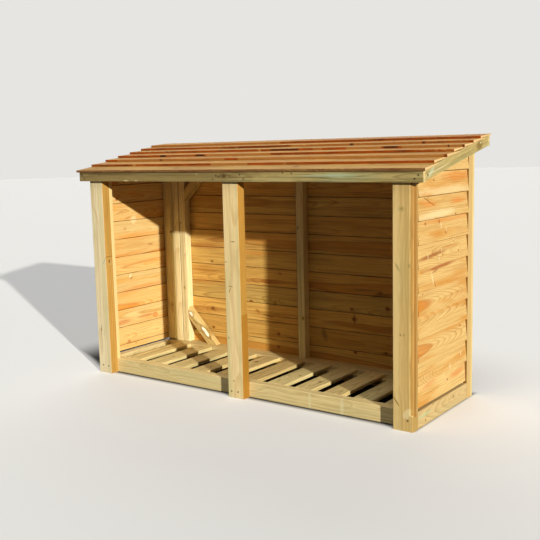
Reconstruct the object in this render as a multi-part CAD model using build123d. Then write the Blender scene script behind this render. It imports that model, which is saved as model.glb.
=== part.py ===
from build123d import *
import math
import os

# Timber log store with two open bays. All sizes are in millimetres.
# X runs along the width, -Y is the open front and Z is up. The origin is on the ground,
# under the middle of the roof.

# Overall size of the body, without the roof
body_width = 1830.0
body_depth = 608.0

# Posts, seen wide face to the front
post_width = 90.0
post_depth = 47.0
rear_post_width = 90.0
rear_post_depth = 45.0
middle_post_shift = 7.0
arris_radius = 3.0
wane_radius = 18.0
wane_foot = 62.0
wane_runout = 26.0

# Rails of the base frame
rail_height = 72.0
rail_depth = 45.0

# Feather-edged boards: thick lower edge, thin upper edge
board_width = 125.0
board_butt = 11.0
board_thin = 4.0
wall_cover = 96.0
wall_foot = 83.0
back_foot = 10.0
eaves_cover = 108.0
roof_cover = 92.5

# Side panels
wall_inset = 17.0
strip_thickness = 18.0
back_strip_width = 45.0
front_batten_depth = 20.0
rear_batten_width = 50.0
rear_batten_depth = 25.0
board_end_gap = 6.0

# Back panel
stud_width = 45.0
stud_depth = 45.0
middle_stud_shift = 14.0
top_rail_height = 63.0
brace_width = 44.0
brace_thickness = 36.0
brace_reach = 138.0
brace_wane_radius = 20.0
brace_wane_foot = 56.0
back_top_gap = 2.0

# Slatted floor
slat_width = 97.0
slat_spacing = 57.0
slat_side_gap = 10.0
slat_shift = 15.0
slat_thickness = 18.0
bearer_width = 38.0
bearer_height = 38.0

# Roof frame
roof_pitch = 11.5
eaves_height = 1052.0
eaves_overhang = 27.0
rear_overhang = 42.0
verge_overhang = 52.0
board_overhang = 15.0
trim_thickness = 20.0
trim_height = 46.0
rafter_width = 45.0
rafter_depth = 45.0
birds_mouth = 3.5

# Clearances
lap_gap = 0.3
seat_gap = 0.3
slat_gap = 1.0
joint_gap = 3.0

rise = math.radians(roof_pitch)
slope = math.tan(rise)
covered = (eaves_overhang + body_depth + rear_overhang) / math.cos(rise)
roof_courses = math.ceil((covered - board_width - eaves_cover) / roof_cover) + 2
roof_feet = [0.0] + [eaves_cover + roof_cover * course for course in range(roof_courses - 1)]
roof_depth = (roof_feet[-1] + board_width) * math.cos(rise)
butt_lean = (board_butt + 2 * seat_gap) * math.sin(rise)

# Planes that the pieces share
front_y = eaves_overhang - (roof_depth - butt_lean) / 2
post_back_y = front_y + post_depth
rear_y = front_y + body_depth
stud_back_y = rear_y - strip_thickness
rear_post_y = stud_back_y - rear_post_depth
half_width = body_width / 2
wall_x = half_width - wall_inset
rear_post_x = half_width - strip_thickness
verge_x = half_width + verge_overhang
rafter_height = rafter_depth / math.cos(rise)


def roof_z(y):
    """Height of the roof boards' underside, where they lie on the rafters."""
    return eaves_height + slope * (y - front_y + eaves_overhang)


def timber(x, y, z, ease=arris_radius):
    """Straight timber between pairs of limits, with its long edges eased."""
    size = (x[1] - x[0], y[1] - y[0], z[1] - z[0])
    centre = ((x[0] + x[1]) / 2, (y[0] + y[1]) / 2, (z[0] + z[1]) / 2)
    solid = Pos(*centre) * Box(*size)
    length = (Axis.X, Axis.Y, Axis.Z)[size.index(max(size))]
    return fillet(solid.edges().filter_by(length), ease)


def below_roof(solid, gap=seat_gap):
    """Cut a piece off along the underside of the roof boards."""
    reach = body_width + 2 * verge_overhang
    y0, y1 = front_y - body_depth, rear_y + body_depth
    profile = Polyline(
        (y0, roof_z(y0) - gap),
        (y1, roof_z(y1) - gap),
        (y1, roof_z(y1) + body_depth),
        (y0, roof_z(y1) + body_depth),
        close=True,
    )
    face = Plane.YZ * make_face(profile)
    return solid - extrude(face, amount=reach, both=True)


def other_side(solid):
    """The same piece on the other side of the store."""
    return mirror(solid, about=Plane.YZ)


def top_height():
    """A height that is clear above every post before it is cut."""
    return roof_z(rear_y) + trim_height


# Posts

def front_post(centre_x, waney=False):
    x = (centre_x - post_width / 2, centre_x + post_width / 2)
    post = timber(x, (front_y, post_back_y), (0, top_height()))
    if waney:
        post -= Pos(x[1], front_y, 0) * wane(wane_radius, wane_foot, top_height())
    return below_roof(post)


def wane(radius, foot, length):
    """What a rounded, waney arris lacks, from the run-out near its foot up to its length.

    The square arris would be the Z axis, with the timber towards -X and +Y."""
    square = Pos(-radius / 2, radius / 2) * Rectangle(radius, radius)
    bark = Pos(-radius, radius) * Circle(radius)
    cutter = extrude(square - bark, amount=length)
    run_out = Plane(origin=(0, 0, foot), z_dir=(wane_runout, -wane_runout, 2 * radius))
    return split(cutter, bisect_by=run_out, keep=Keep.TOP)


def rear_post():
    x = (rear_post_x - rear_post_width, rear_post_x)
    return below_roof(timber(x, (rear_post_y, stud_back_y), (0, top_height())))


def corner_strips():
    """Strips that close the rear corner, one on the post's side and one on its back."""
    under_trim = roof_z(stud_back_y) - trim_height - back_top_gap
    side = timber(
        (rear_post_x, half_width), (rear_post_y, stud_back_y), (0, top_height()), 1.0
    )
    back = timber(
        (half_width - back_strip_width, half_width), (stud_back_y, rear_y), (0, under_trim), 1.0
    )
    return Compound(children=[below_roof(side), back])


# Side panels

def feather_courses(origin, up, along, length, feet):
    """Lapped boards, each with its thick lower edge over the thin top of the one below.

    The feet are how far up each board's lower edge lies."""
    courses = []
    inner = seat_gap
    for foot, next_foot in zip(feet, [*feet[1:], feet[-1] + board_width]):
        profile = Polyline(
            (foot, inner),
            (foot + board_width, seat_gap),
            (foot + board_width, seat_gap + board_thin),
            (foot, inner + board_butt),
            close=True,
        )
        face = Plane(origin=origin, x_dir=up, z_dir=along) * make_face(profile)
        courses.append(extrude(face, amount=length))
        lap = (foot + board_width - next_foot) / board_width
        top = seat_gap + board_thin
        inner = top + (inner + board_butt - top) * lap + lap_gap
    return courses


def side_boards():
    count = math.ceil((roof_z(rear_post_y) - wall_foot) / wall_cover)
    start = post_back_y + board_end_gap
    courses = feather_courses(
        (wall_x, start, wall_foot),
        (0, 0, 1),
        (0, 1, 0),
        rear_post_y - seat_gap - start,
        [wall_cover * course for course in range(count)],
    )
    cut = [below_roof(course) for course in courses]
    return Compound(children=cut)


def side_battens():
    """Battens inside the boards, one behind the front post and one before the rear post."""
    front = timber(
        (half_width - post_width, wall_x),
        (post_back_y, post_back_y + front_batten_depth),
        (rail_height, top_height()),
        1.5,
    )
    rear = timber(
        (wall_x - rear_batten_width, wall_x),
        (rear_post_y - rear_batten_depth, rear_post_y),
        (wall_foot, top_height()),
    )
    return Compound(children=[below_roof(front), below_roof(rear)])


def side_rail():
    return timber(
        (half_width - rail_depth, half_width), (post_back_y, rear_post_y), (0, rail_height)
    )


# Back panel

back_half = rear_post_x - rear_post_width
stud_x = back_half - joint_gap - stud_width
top_rail_top = roof_z(stud_back_y) - rafter_height + birds_mouth
top_rail_foot = top_rail_top - top_rail_height


def back_rail(z):
    return timber((-back_half, back_half), (stud_back_y - stud_depth, stud_back_y), z)


def stud(x):
    return timber(
        (x, x + stud_width), (stud_back_y - stud_depth, stud_back_y), (rail_height, top_rail_foot)
    )


def corner_brace(rail_z, way, waney=False):
    """Brace at 45 degrees from the right-hand stud up or down to a rail, cut to seat on both."""
    face_y = stud_back_y - stud_depth
    span = brace_reach + brace_width * math.sqrt(2)
    outline = Polyline(
        (stud_x, rail_z + way * brace_reach),
        (stud_x, rail_z + way * span),
        (stud_x - span, rail_z),
        (stud_x - brace_reach, rail_z),
        close=True,
    )
    face = Plane(origin=(0, face_y, 0), x_dir=(1, 0, 0), z_dir=(0, -1, 0)) * make_face(outline)
    brace = extrude(face, amount=-brace_thickness)
    if waney:
        upper_arris = Plane(
            origin=(stud_x - span, face_y, rail_z), x_dir=(0, -1, 0), z_dir=(1, 0, way)
        )
        brace -= upper_arris * wane(brace_wane_radius, brace_wane_foot, 2 * span)
    return brace


def back_boards():
    top = roof_z(stud_back_y) - trim_height - back_top_gap
    count = math.ceil((top - back_foot) / wall_cover)
    half = half_width - back_strip_width - seat_gap
    feet = [wall_cover * course for course in range(count)]
    courses = feather_courses(
        (half, stud_back_y, back_foot), (0, 0, 1), (-1, 0, 0), 2 * half, feet
    )
    limit = Plane(origin=(0, 0, top))
    return Compound(children=[split(course, bisect_by=limit, keep=Keep.BOTTOM) for course in courses])


# Slatted floor

floor_front_y = post_back_y + rail_depth
floor_back_y = stud_back_y - stud_depth - rail_depth
floor_half = half_width - rail_depth


def floor_rail(y):
    return timber((-floor_half, floor_half), (y, y + rail_depth), (0, rail_height))


def bearer(y):
    top = rail_height - slat_thickness
    return timber((-floor_half, floor_half), (y, y + bearer_width), (top - bearer_height, top), 1.0)


def floor_slats():
    pitch = slat_width + slat_spacing
    room = 2 * (floor_half - slat_shift - slat_side_gap)
    count = int((room + slat_spacing) / pitch)
    slats = []
    for number in range(count):
        x = slat_shift + (number - (count - 1) / 2) * pitch
        slats.append(
            timber(
                (x - slat_width / 2, x + slat_width / 2),
                (floor_front_y + slat_gap, floor_back_y - slat_gap),
                (rail_height - slat_thickness, rail_height),
                4.0,
            )
        )
    return Compound(children=slats)


# Roof

def rafter(x):
    """A bar under the roof boards that follows the slope, with plumb ends against the fascias."""
    y = (front_y, rear_y + rear_overhang - trim_thickness)
    profile = Polyline(
        (y[0], roof_z(y[0]) - rafter_height),
        (y[1], roof_z(y[1]) - rafter_height),
        (y[1], roof_z(y[1])),
        (y[0], roof_z(y[0])),
        close=True,
    )
    face = Plane(origin=(x, 0, 0), x_dir=(0, 1, 0), z_dir=(1, 0, 0)) * make_face(profile)
    return extrude(face, amount=rafter_width)


def seated_rafter(x):
    """Rafter with a bird's mouth where it sits on the back panel's top rail."""
    seat = Pos(0, stud_back_y - stud_depth / 2, top_rail_top - top_rail_height / 2) * Box(
        body_width, stud_depth, top_rail_height
    )
    return rafter(x) - seat


def front_fascia():
    """Board across the rafters' front ends, its top planed to the slope of the roof."""
    y = (front_y - trim_thickness, front_y)
    foot = roof_z(y[0]) - trim_height
    return below_roof(timber((-verge_x, verge_x), y, (foot, roof_z(y[1])), 1.0), 0)


def rear_fascia():
    y = (rear_y + rear_overhang - trim_thickness, rear_y + rear_overhang)
    foot = roof_z(y[0]) - trim_height
    return below_roof(timber((-verge_x, verge_x), y, (foot, roof_z(y[1])), 1.0), 0)


def roof_boards():
    half = verge_x + board_overhang
    return feather_courses(
        (-half, front_y - eaves_overhang, eaves_height),
        (0, math.cos(rise), math.sin(rise)),
        (1, 0, 0),
        2 * half,
        roof_feet,
    )


corner_post_x = half_width - post_width / 2
middle_left = middle_post_shift - post_width / 2 - joint_gap - rafter_width
middle_right = middle_post_shift + post_width / 2 + joint_gap

nodes = {
    "front_post_left": front_post(-corner_post_x),
    "front_post_middle": front_post(middle_post_shift),
    "front_post_right": front_post(corner_post_x, waney=True),
    "rear_post_right": rear_post(),
    "corner_strips_right": corner_strips(),
    "side_boards_right": side_boards(),
    "side_battens_right": side_battens(),
    "side_rail_right": side_rail(),
    "back_boards": back_boards(),
    "back_bottom_rail": back_rail((0, rail_height)),
    "back_top_rail": back_rail((top_rail_foot, top_rail_top)),
    "back_stud_left": stud(-stud_x - stud_width),
    "back_stud_middle": stud(middle_stud_shift - stud_width / 2),
    "back_stud_right": stud(stud_x),
    "brace_bottom_right": corner_brace(rail_height, 1),
    "brace_bottom_left": other_side(corner_brace(rail_height, 1, waney=True)),
    "brace_top_right": corner_brace(top_rail_foot, -1),
    "floor_front_rail": floor_rail(post_back_y),
    "floor_rear_rail": floor_rail(floor_back_y),
    "floor_bearer_front": bearer(floor_front_y),
    "floor_bearer_rear": bearer(floor_back_y - bearer_width),
    "floor_slats": floor_slats(),
    "fascia_front": front_fascia(),
    "fascia_rear": rear_fascia(),
    "rafter_right": rafter(verge_x - rafter_width),
    "rafter_middle_left": seated_rafter(middle_left),
    "rafter_middle_right": seated_rafter(middle_right),
}

for name in [key for key in nodes if key.endswith("_right") and "middle" not in key]:
    left = name.replace("_right", "_left")
    if left not in nodes:
        nodes[left] = other_side(nodes[name])

for number, board in enumerate(roof_boards(), start=1):
    nodes[f"roof_board_{number}"] = board

os.makedirs("parts", exist_ok=True)
for name, shape in nodes.items():
    export_step(shape, f"parts/{name}.step")
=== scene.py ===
import math
import random

import bmesh
import bpy
from mathutils import Matrix, Vector, noise


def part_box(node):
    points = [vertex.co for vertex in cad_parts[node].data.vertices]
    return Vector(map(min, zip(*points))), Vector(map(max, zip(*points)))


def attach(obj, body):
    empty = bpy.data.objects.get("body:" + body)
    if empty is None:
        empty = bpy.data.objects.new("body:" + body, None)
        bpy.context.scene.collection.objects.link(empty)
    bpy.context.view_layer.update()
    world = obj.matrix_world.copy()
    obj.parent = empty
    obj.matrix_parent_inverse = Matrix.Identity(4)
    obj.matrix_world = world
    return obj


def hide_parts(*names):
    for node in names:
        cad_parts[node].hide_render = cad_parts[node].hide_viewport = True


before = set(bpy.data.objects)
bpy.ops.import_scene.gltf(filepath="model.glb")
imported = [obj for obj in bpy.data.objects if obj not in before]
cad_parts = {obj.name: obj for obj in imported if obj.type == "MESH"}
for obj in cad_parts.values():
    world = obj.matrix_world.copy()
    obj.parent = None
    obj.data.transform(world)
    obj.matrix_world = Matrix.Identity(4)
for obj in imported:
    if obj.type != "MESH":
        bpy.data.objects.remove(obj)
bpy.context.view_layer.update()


# Front posts
# Three planed softwood posts, 90 by 47 mm, pressure treated, so their pale faces have a green
# cast. They stand on the ground, screwed through the foot into the base rails. The outer arris
# of the right-hand post is waney: the rounded, orange-brown outside of the log was left on.


def paint(code):
    """A colour as it is seen, written as RRGGBB, in the linear values that a shader takes."""
    seen = [int(code[i : i + 2], 16) / 255 for i in (0, 2, 4)]
    linear = [c / 12.92 if c <= 0.04045 else ((c + 0.055) / 1.055) ** 2.4 for c in seen]
    return (*linear, 1.0)


def feed(tree, socket, given):
    """Join a socket to another one, or set its own value."""
    if isinstance(given, bpy.types.NodeSocket):
        tree.links.new(given, socket)
    else:
        socket.default_value = given


def reckon(tree, operation, *given):
    """One step of arithmetic on values."""
    node = tree.nodes.new("ShaderNodeMath")
    node.operation = operation
    for socket, value in zip(node.inputs, given):
        feed(tree, socket, value)
    return node.outputs[0]


def move(tree, operation, *given):
    """One step of arithmetic on vectors."""
    node = tree.nodes.new("ShaderNodeVectorMath")
    node.operation = operation
    for socket, value in zip(node.inputs, given):
        feed(tree, socket, value)
    return node.outputs["Vector"]


def parts_of(tree, vector):
    """The three parts of a vector."""
    node = tree.nodes.new("ShaderNodeSeparateXYZ")
    feed(tree, node.inputs[0], vector)
    return node.outputs[:3]


def joined(tree, *parts):
    """A vector from its three parts."""
    node = tree.nodes.new("ShaderNodeCombineXYZ")
    for socket, part in zip(node.inputs, parts):
        feed(tree, socket, part)
    return node.outputs[0]


def ease(tree, value, start, end, low=0.0, high=1.0):
    """A smooth step from low, where value is at start, to high, where it is at end."""
    node = tree.nodes.new("ShaderNodeMapRange")
    node.interpolation_type = "SMOOTHSTEP"
    for socket, given in zip(node.inputs, (value, start, end, low, high)):
        feed(tree, socket, given)
    return node.outputs[0]


def speckle(tree, vector, stretch, detail=2.0):
    """Noise that is as many times finer along each axis as stretch says."""
    node = tree.nodes.new("ShaderNodeTexNoise")
    feed(tree, node.inputs["Vector"], move(tree, "MULTIPLY", vector, stretch))
    node.inputs["Scale"].default_value = 1.0
    node.inputs["Detail"].default_value = detail
    return node.outputs


def tinted(tree, amount, first, second, way="MIX"):
    """The first colour, with as much of the second as amount says."""
    node = tree.nodes.new("ShaderNodeMix")
    node.data_type = "RGBA"
    node.blend_type = way
    feed(tree, node.inputs[0], amount)
    feed(tree, node.inputs[6], first)
    feed(tree, node.inputs[7], second)
    return node.outputs[2]


def new_group(name, takes, gives):
    """An empty node group with the named inputs and outputs, and its two end nodes."""
    group = bpy.data.node_groups.new(name, "ShaderNodeTree")
    for way, sockets in (("INPUT", takes), ("OUTPUT", gives)):
        for socket, kind in sockets.items():
            group.interface.new_socket(name=socket, in_out=way, socket_type="NodeSocket" + kind)
    return group, group.nodes.new("NodeGroupInput"), group.nodes.new("NodeGroupOutput")


def placed(tree, group, **given):
    """A node group in a tree, with its inputs fed. Words in a name are joined by an underscore."""
    node = tree.nodes.new("ShaderNodeGroup")
    node.node_tree = group
    for name, value in given.items():
        feed(tree, node.inputs[name.replace("_", " ").title()], value)
    return node.outputs


def make_knot_group():
    """The grain flows round a knot. A knot is its place along and across, and its radius."""
    tree, taken, given = new_group(
        "grain round a knot",
        {"Grain": "Vector", "Knot": "Vector"},
        {"Grain": "Vector", "Body": "Float", "Halo": "Float", "Ring": "Float"},
    )
    grain, knot = taken.outputs["Grain"], taken.outputs["Knot"]
    along, across, depth = parts_of(tree, grain)
    knot_along, knot_across, radius = parts_of(tree, knot)
    off_along = reckon(tree, "SUBTRACT", along, knot_along)
    off_across = reckon(tree, "SUBTRACT", across, knot_across)
    drawn_out = reckon(tree, "MULTIPLY", off_along, 0.38)
    reach = reckon(
        tree, "ADD", reckon(tree, "POWER", drawn_out, 2.0), reckon(tree, "POWER", off_across, 2.0)
    )
    area = reckon(tree, "POWER", reckon(tree, "MULTIPLY", radius, 1.15), 2.0)
    push = reckon(tree, "DIVIDE", area, reckon(tree, "MAXIMUM", reach, area))
    bent = reckon(tree, "SUBTRACT", across, reckon(tree, "MULTIPLY", off_across, push))
    uneven = reckon(tree, "SUBTRACT", speckle(tree, grain, (70.0, 90.0, 5.0))["Fac"], 0.5)
    oval = reckon(tree, "MULTIPLY", off_along, 0.78)
    distance = reckon(
        tree, "ADD", reckon(tree, "POWER", oval, 2.0), reckon(tree, "POWER", off_across, 2.0)
    )
    distance = reckon(tree, "SQRT", distance)
    distance = reckon(tree, "MULTIPLY_ADD", reckon(tree, "MULTIPLY", uneven, 0.5), radius, distance)
    feed(tree, given.inputs["Grain"], joined(tree, along, bent, depth))
    shortfall = reckon(tree, "SUBTRACT", distance, radius)
    feed(tree, given.inputs["Body"], ease(tree, shortfall, 0.0007, -0.0007))
    outer = reckon(tree, "MULTIPLY", radius, 2.4)
    inner = reckon(tree, "MULTIPLY", radius, 0.8)
    feed(tree, given.inputs["Halo"], ease(tree, distance, outer, inner))
    feed(tree, given.inputs["Ring"], reckon(tree, "DIVIDE", distance, radius))
    return tree


def make_ring_group():
    """Growth rings round the pith of the log that the timber was sawn from.

    Pith is how far the log's centre line leans over each metre, and where it is across and in
    depth. Depth that comes out is the distance from it, which tells heartwood from sapwood."""
    tree, taken, given = new_group(
        "growth rings",
        {"Grain": "Vector", "Pith": "Vector", "Ring Width": "Float", "Wander": "Float"},
        {"Ring": "Float", "Depth": "Float", "Fibre": "Float", "Cloud": "Float", "Line": "Float"},
    )
    grain = taken.outputs["Grain"]
    along, across, depth = parts_of(tree, grain)
    lean, pith_across, pith_depth = parts_of(tree, taken.outputs["Pith"])
    slow = speckle(tree, grain, (2.6, 5.0, 5.0), 1.0)["Color"]
    sway_across, sway_depth = parts_of(tree, move(tree, "SUBTRACT", slow, (0.5, 0.5, 0.5)))[:2]
    wander = taken.outputs["Wander"]
    y = reckon(tree, "SUBTRACT", across, pith_across)
    y = reckon(tree, "MULTIPLY_ADD", sway_across, wander, y)
    z = reckon(tree, "SUBTRACT", depth, pith_depth)
    z = reckon(tree, "SUBTRACT", z, reckon(tree, "MULTIPLY", along, lean))
    z = reckon(tree, "MULTIPLY_ADD", sway_depth, wander, z)
    from_pith = reckon(tree, "ADD", reckon(tree, "POWER", y, 2.0), reckon(tree, "POWER", z, 2.0))
    from_pith = reckon(tree, "SQRT", from_pith)
    ripple = reckon(tree, "SUBTRACT", speckle(tree, grain, (7.0, 60.0, 60.0))["Fac"], 0.5)
    rippled = reckon(tree, "MULTIPLY_ADD", ripple, 0.0024, from_pith)
    phase = reckon(tree, "DIVIDE", rippled, taken.outputs["Ring Width"])
    year = reckon(tree, "FRACT", phase)
    summer = reckon(tree, "POWER", year, 2.4)
    winter = ease(tree, year, 1.0, 0.84)
    strong = tree.nodes.new("ShaderNodeTexNoise")
    strong.noise_dimensions = "1D"
    feed(tree, strong.inputs["W"], reckon(tree, "MULTIPLY", phase, 0.43))
    strength = ease(tree, strong.outputs["Fac"], 0.3, 0.7, 0.25, 1.0)
    ring = reckon(tree, "MULTIPLY", reckon(tree, "MULTIPLY", summer, winter), strength)
    feed(tree, given.inputs["Ring"], ring)
    feed(tree, given.inputs["Depth"], from_pith)
    feed(tree, given.inputs["Fibre"], speckle(tree, grain, (16.0, 900.0, 900.0), 3.0)["Fac"])
    feed(tree, given.inputs["Cloud"], speckle(tree, grain, (2.4, 17.0, 17.0), 3.0)["Fac"])
    feed(tree, given.inputs["Line"], speckle(tree, grain, (2.6, 115.0, 115.0), 4.0)["Fac"])
    return tree


def make_patch_group():
    """A soft, uneven oval on the surface: where it is, its half length and width, and its lean."""
    tree, taken, given = new_group(
        "patch",
        dict(Grain="Vector", Place="Vector", Size="Vector", Lean="Float", Uneven="Float"),
        {"Mask": "Float"},
    )
    off = move(tree, "SUBTRACT", taken.outputs["Grain"], taken.outputs["Place"])
    along, across = parts_of(tree, off)[:2]
    leaning = reckon(tree, "MULTIPLY", along, taken.outputs["Lean"])
    across = reckon(tree, "SUBTRACT", across, leaning)
    half_length, half_width, soft = parts_of(tree, taken.outputs["Size"])
    long_way = reckon(tree, "POWER", reckon(tree, "DIVIDE", along, half_length), 2.0)
    short_way = reckon(tree, "POWER", reckon(tree, "DIVIDE", across, half_width), 2.0)
    distance = reckon(tree, "SQRT", reckon(tree, "ADD", long_way, short_way))
    distance = reckon(tree, "ADD", distance, taken.outputs["Uneven"])
    inside = reckon(tree, "SUBTRACT", 1.0, soft)
    outside = reckon(tree, "ADD", 1.0, soft)
    feed(tree, given.inputs["Mask"], ease(tree, distance, outside, inside))
    return tree


knot_group = make_knot_group()
ring_group = make_ring_group()
patch_group = make_patch_group()

# Where an axis of the timber's own grain is read from: along, across and in depth
UPRIGHT = "ZXY"
UPRIGHT_SIDE = "ZYX"
LEVEL = "XZY"
INWARD = "YZX"


def grain_from_object(tree, order, centre, turn=(0.0, 0.0, 0.0)):
    """The object's coordinates, turned and shifted into the timber's own grain.

    centre is the place where the grain counts from. Where it lies metres away along the grain,
    that gives the piece a stretch of the pattern to itself."""
    place = tree.nodes.new("ShaderNodeTexCoord").outputs["Object"]
    turned = tree.nodes.new("ShaderNodeMapping")
    feed(tree, turned.inputs["Vector"], place)
    turned.inputs["Rotation"].default_value = turn
    axes = dict(zip("XYZ", parts_of(tree, turned.outputs[0])))
    return move(tree, "SUBTRACT", joined(tree, *[axes[axis] for axis in order]), centre)


def grain_from_mesh(tree, name):
    """A value that each board of a mesh carries for itself."""
    node = tree.nodes.new("ShaderNodeAttribute")
    node.attribute_name = name
    return node.outputs["Vector"]


def wood_colour(tree, wood, rings, heart, ring_show):
    """Pale sapwood with its rings, warm heartwood with a darker rim, streaks, lines and fibres."""
    shown = reckon(tree, "MULTIPLY", rings["Ring"], ring_show)
    colour = tinted(tree, shown, wood["pale"], wood["ring"])
    inner = reckon(tree, "SUBTRACT", rings["Depth"], heart)
    warm = ease(tree, inner, 0.003, -0.004)
    warm = reckon(tree, "MULTIPLY", warm, ease(tree, rings["Cloud"], 0.2, 0.62, 0.45, 1.0))
    colour = tinted(tree, warm, colour, wood["heart"])
    rim = ease(tree, inner, 0.002, -0.0004)
    rim = reckon(tree, "MULTIPLY", rim, ease(tree, inner, -0.005, -0.0014))
    colour = tinted(tree, reckon(tree, "MULTIPLY", rim, 0.55), colour, wood["halo"])
    streak = ease(tree, rings["Cloud"], 0.47, 0.74)
    colour = tinted(tree, reckon(tree, "MULTIPLY", streak, wood["streaks"]), colour, wood["streak"])
    line = ease(tree, rings["Line"], 0.48, 0.66)
    colour = tinted(tree, reckon(tree, "MULTIPLY", line, wood["lines"]), colour, wood["ring"])
    fibre = ease(tree, rings["Fibre"], 0.25, 0.75, 0.88, 1.1)
    return tinted(tree, 1.0, colour, joined(tree, fibre, fibre, fibre), "MULTIPLY")


def with_tone(tree, colour, tone, hue):
    """A board's own brightness and warmth over the colour of its wood."""
    bright = joined(
        tree,
        reckon(tree, "ADD", tone, reckon(tree, "MULTIPLY", hue, 0.2)),
        reckon(tree, "SUBTRACT", tone, reckon(tree, "MULTIPLY", hue, 0.35)),
        reckon(tree, "SUBTRACT", tone, hue),
    )
    return tinted(tree, 1.0, colour, bright, "MULTIPLY")


def with_patches(tree, colour, lying, patches):
    """Soft, uneven ovals of other colours over the wood's own.

    Each is where it is along and across the grain, its half length, its half width and how soft
    its edge is, its lean, its colour, and its strength."""
    uneven = speckle(tree, lying, (16.0, 75.0, 75.0), 3.0)["Fac"]
    uneven = reckon(tree, "MULTIPLY", reckon(tree, "SUBTRACT", uneven, 0.5), 1.1)
    for place, size, lean, patch_colour, strength in patches:
        spot = placed(
            tree, patch_group, grain=lying, place=(*place, 0), size=size, lean=lean, uneven=uneven
        )
        mask = reckon(tree, "MULTIPLY", spot["Mask"], strength)
        colour = tinted(tree, mask, colour, paint(patch_colour))
    return colour


def with_lap_shade(tree, colour, straight, lap_shade_lines, shade):
    """Painted shade: dark, uneven lines along the edges of lapped boards, where shade falls just
    under the thick edge of the board above, outside, and just over the thin edge of the board
    below, inside.

    Its lap argument is the way the boards face, and how far up each board the next one begins and
    the last one ends."""
    (axis, sign), next_foot, last_top = lap_shade_lines
    normal = tree.nodes.new("ShaderNodeNewGeometry").outputs["True Normal"]
    way = reckon(tree, "MULTIPLY", parts_of(tree, normal)["XYZ".index(axis)], sign)
    up = parts_of(tree, straight)[1]
    broken = speckle(tree, straight, (5.0, 0.0, 0.0))["Fac"]
    strength = ease(tree, broken, 0.35, 0.6, 0.45, 0.9)
    outer_line = (next_foot - 0.0032, next_foot, 1)
    inner_line = (last_top, last_top + 0.0026, -1)
    for start, end, outer in (outer_line, inner_line):
        begun = ease(tree, up, start - 0.001, start)
        band = reckon(tree, "MULTIPLY", begun, ease(tree, up, end + 0.001, end))
        seen_side = ease(tree, reckon(tree, "MULTIPLY", way, outer), 0.1, 0.5)
        band = reckon(tree, "MULTIPLY", reckon(tree, "MULTIPLY", band, seen_side), strength)
        colour = tinted(tree, band, colour, shade)
    return colour


def with_knots(tree, colour, found, wood):
    """Knots with a dark heart, a dark outer ring and a halo."""
    for knot in found:
        colour = tinted(tree, reckon(tree, "MULTIPLY", knot["Halo"], 0.42), colour, wood["halo"])
        core = tinted(tree, ease(tree, knot["Ring"], 0.15, 0.8), wood["knot"], wood["halo"])
        core = tinted(tree, ease(tree, knot["Ring"], 0.72, 0.95), core, wood["knot"])
        colour = tinted(tree, reckon(tree, "MULTIPLY", knot["Body"], 0.9), colour, core)
    return colour


def timber_finish(
    name,
    wood,
    grain=None,
    knots=(),
    pith=(0.01, 0.0, 0.06),
    patches=(),
    ring_width=0.0042,
    ring_show=0.75,
    sawn=0.0,
    rough=0.62,
    faces=(),
    patch_grain=None,
    lap_shade_lines=None,
):
    """Softwood: rings, heartwood, fibres, knots, patches of another colour and a fine relief.

    wood names the colours. Where grain is left out, each board of the mesh carries its own
    grain, knots, pith and tone. faces are pairs of a mask's maker and the pale colour there.
    The lap argument is what draws the painted shade along lapped edges."""
    finish = bpy.data.materials.new(name)
    finish.use_nodes = True
    tree = finish.node_tree
    shader = tree.nodes["Principled BSDF"]
    # Sapwood throughout, with rings that wander a little, unless the mesh says otherwise
    heart, wander = 0.0, 0.03
    if grain:
        straight = grain_from_object(tree, **grain)
    else:
        straight = grain_from_mesh(tree, "grain")
        knots = [grain_from_mesh(tree, f"knot_{n}") for n in range(1, 4)]
        pith = grain_from_mesh(tree, "pith")
        heart, tone, hue = parts_of(tree, grain_from_mesh(tree, "tone"))
        wander, ring_width = parts_of(tree, grain_from_mesh(tree, "form"))[:2]
    flow, found = straight, []
    for knot in knots:
        found.append(placed(tree, knot_group, grain=flow, knot=knot))
        flow = found[-1]["Grain"]
    rings = placed(
        tree, ring_group, grain=flow, pith=pith, ring_width=ring_width, wander=wander
    )
    colour = wood_colour(tree, wood, rings, heart, ring_show)
    if not grain:
        colour = with_tone(tree, colour, tone, hue)
    if patches:
        lying = grain_from_object(tree, **patch_grain) if patch_grain else straight
        colour = with_patches(tree, colour, lying, patches)
    for mask_of, face_colour in faces:
        change = tuple(new / old for new, old in zip(face_colour, wood["pale"]))
        turned = tinted(tree, 1.0, colour, change, "MULTIPLY")
        colour = tinted(tree, mask_of(tree), colour, turned)
    if lap_shade_lines:
        colour = with_lap_shade(tree, colour, straight, lap_shade_lines, wood["lap"])
    colour = with_knots(tree, colour, found, wood)
    relief = reckon(tree, "MULTIPLY_ADD", rings["Ring"], -0.5, rings["Fibre"])
    for knot in found:
        relief = reckon(tree, "MULTIPLY_ADD", knot["Body"], -0.4, relief)
    if sawn:
        teeth = speckle(tree, straight, (420.0, 25.0, 25.0), 1.0)["Fac"]
        relief = reckon(tree, "MULTIPLY_ADD", teeth, sawn, relief)
    bump = tree.nodes.new("ShaderNodeBump")
    bump.inputs["Strength"].default_value = 0.35
    bump.inputs["Distance"].default_value = 0.0012
    feed(tree, bump.inputs["Height"], relief)
    feed(tree, shader.inputs["Normal"], bump.outputs[0])
    feed(tree, shader.inputs["Base Color"], colour)
    roughness = ease(tree, rings["Fibre"], 0.2, 0.8, rough - 0.08, rough + 0.1)
    feed(tree, shader.inputs["Roughness"], roughness)
    shader.inputs["Specular IOR Level"].default_value = 0.22
    return finish


def finish_node(node, wood, grain, **look):
    """Give a piece of the frame a timber finish of its own."""
    finish = timber_finish(f"{node}_wood", wood, grain, **look)
    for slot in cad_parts[node].material_slots:
        slot.material = finish


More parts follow.
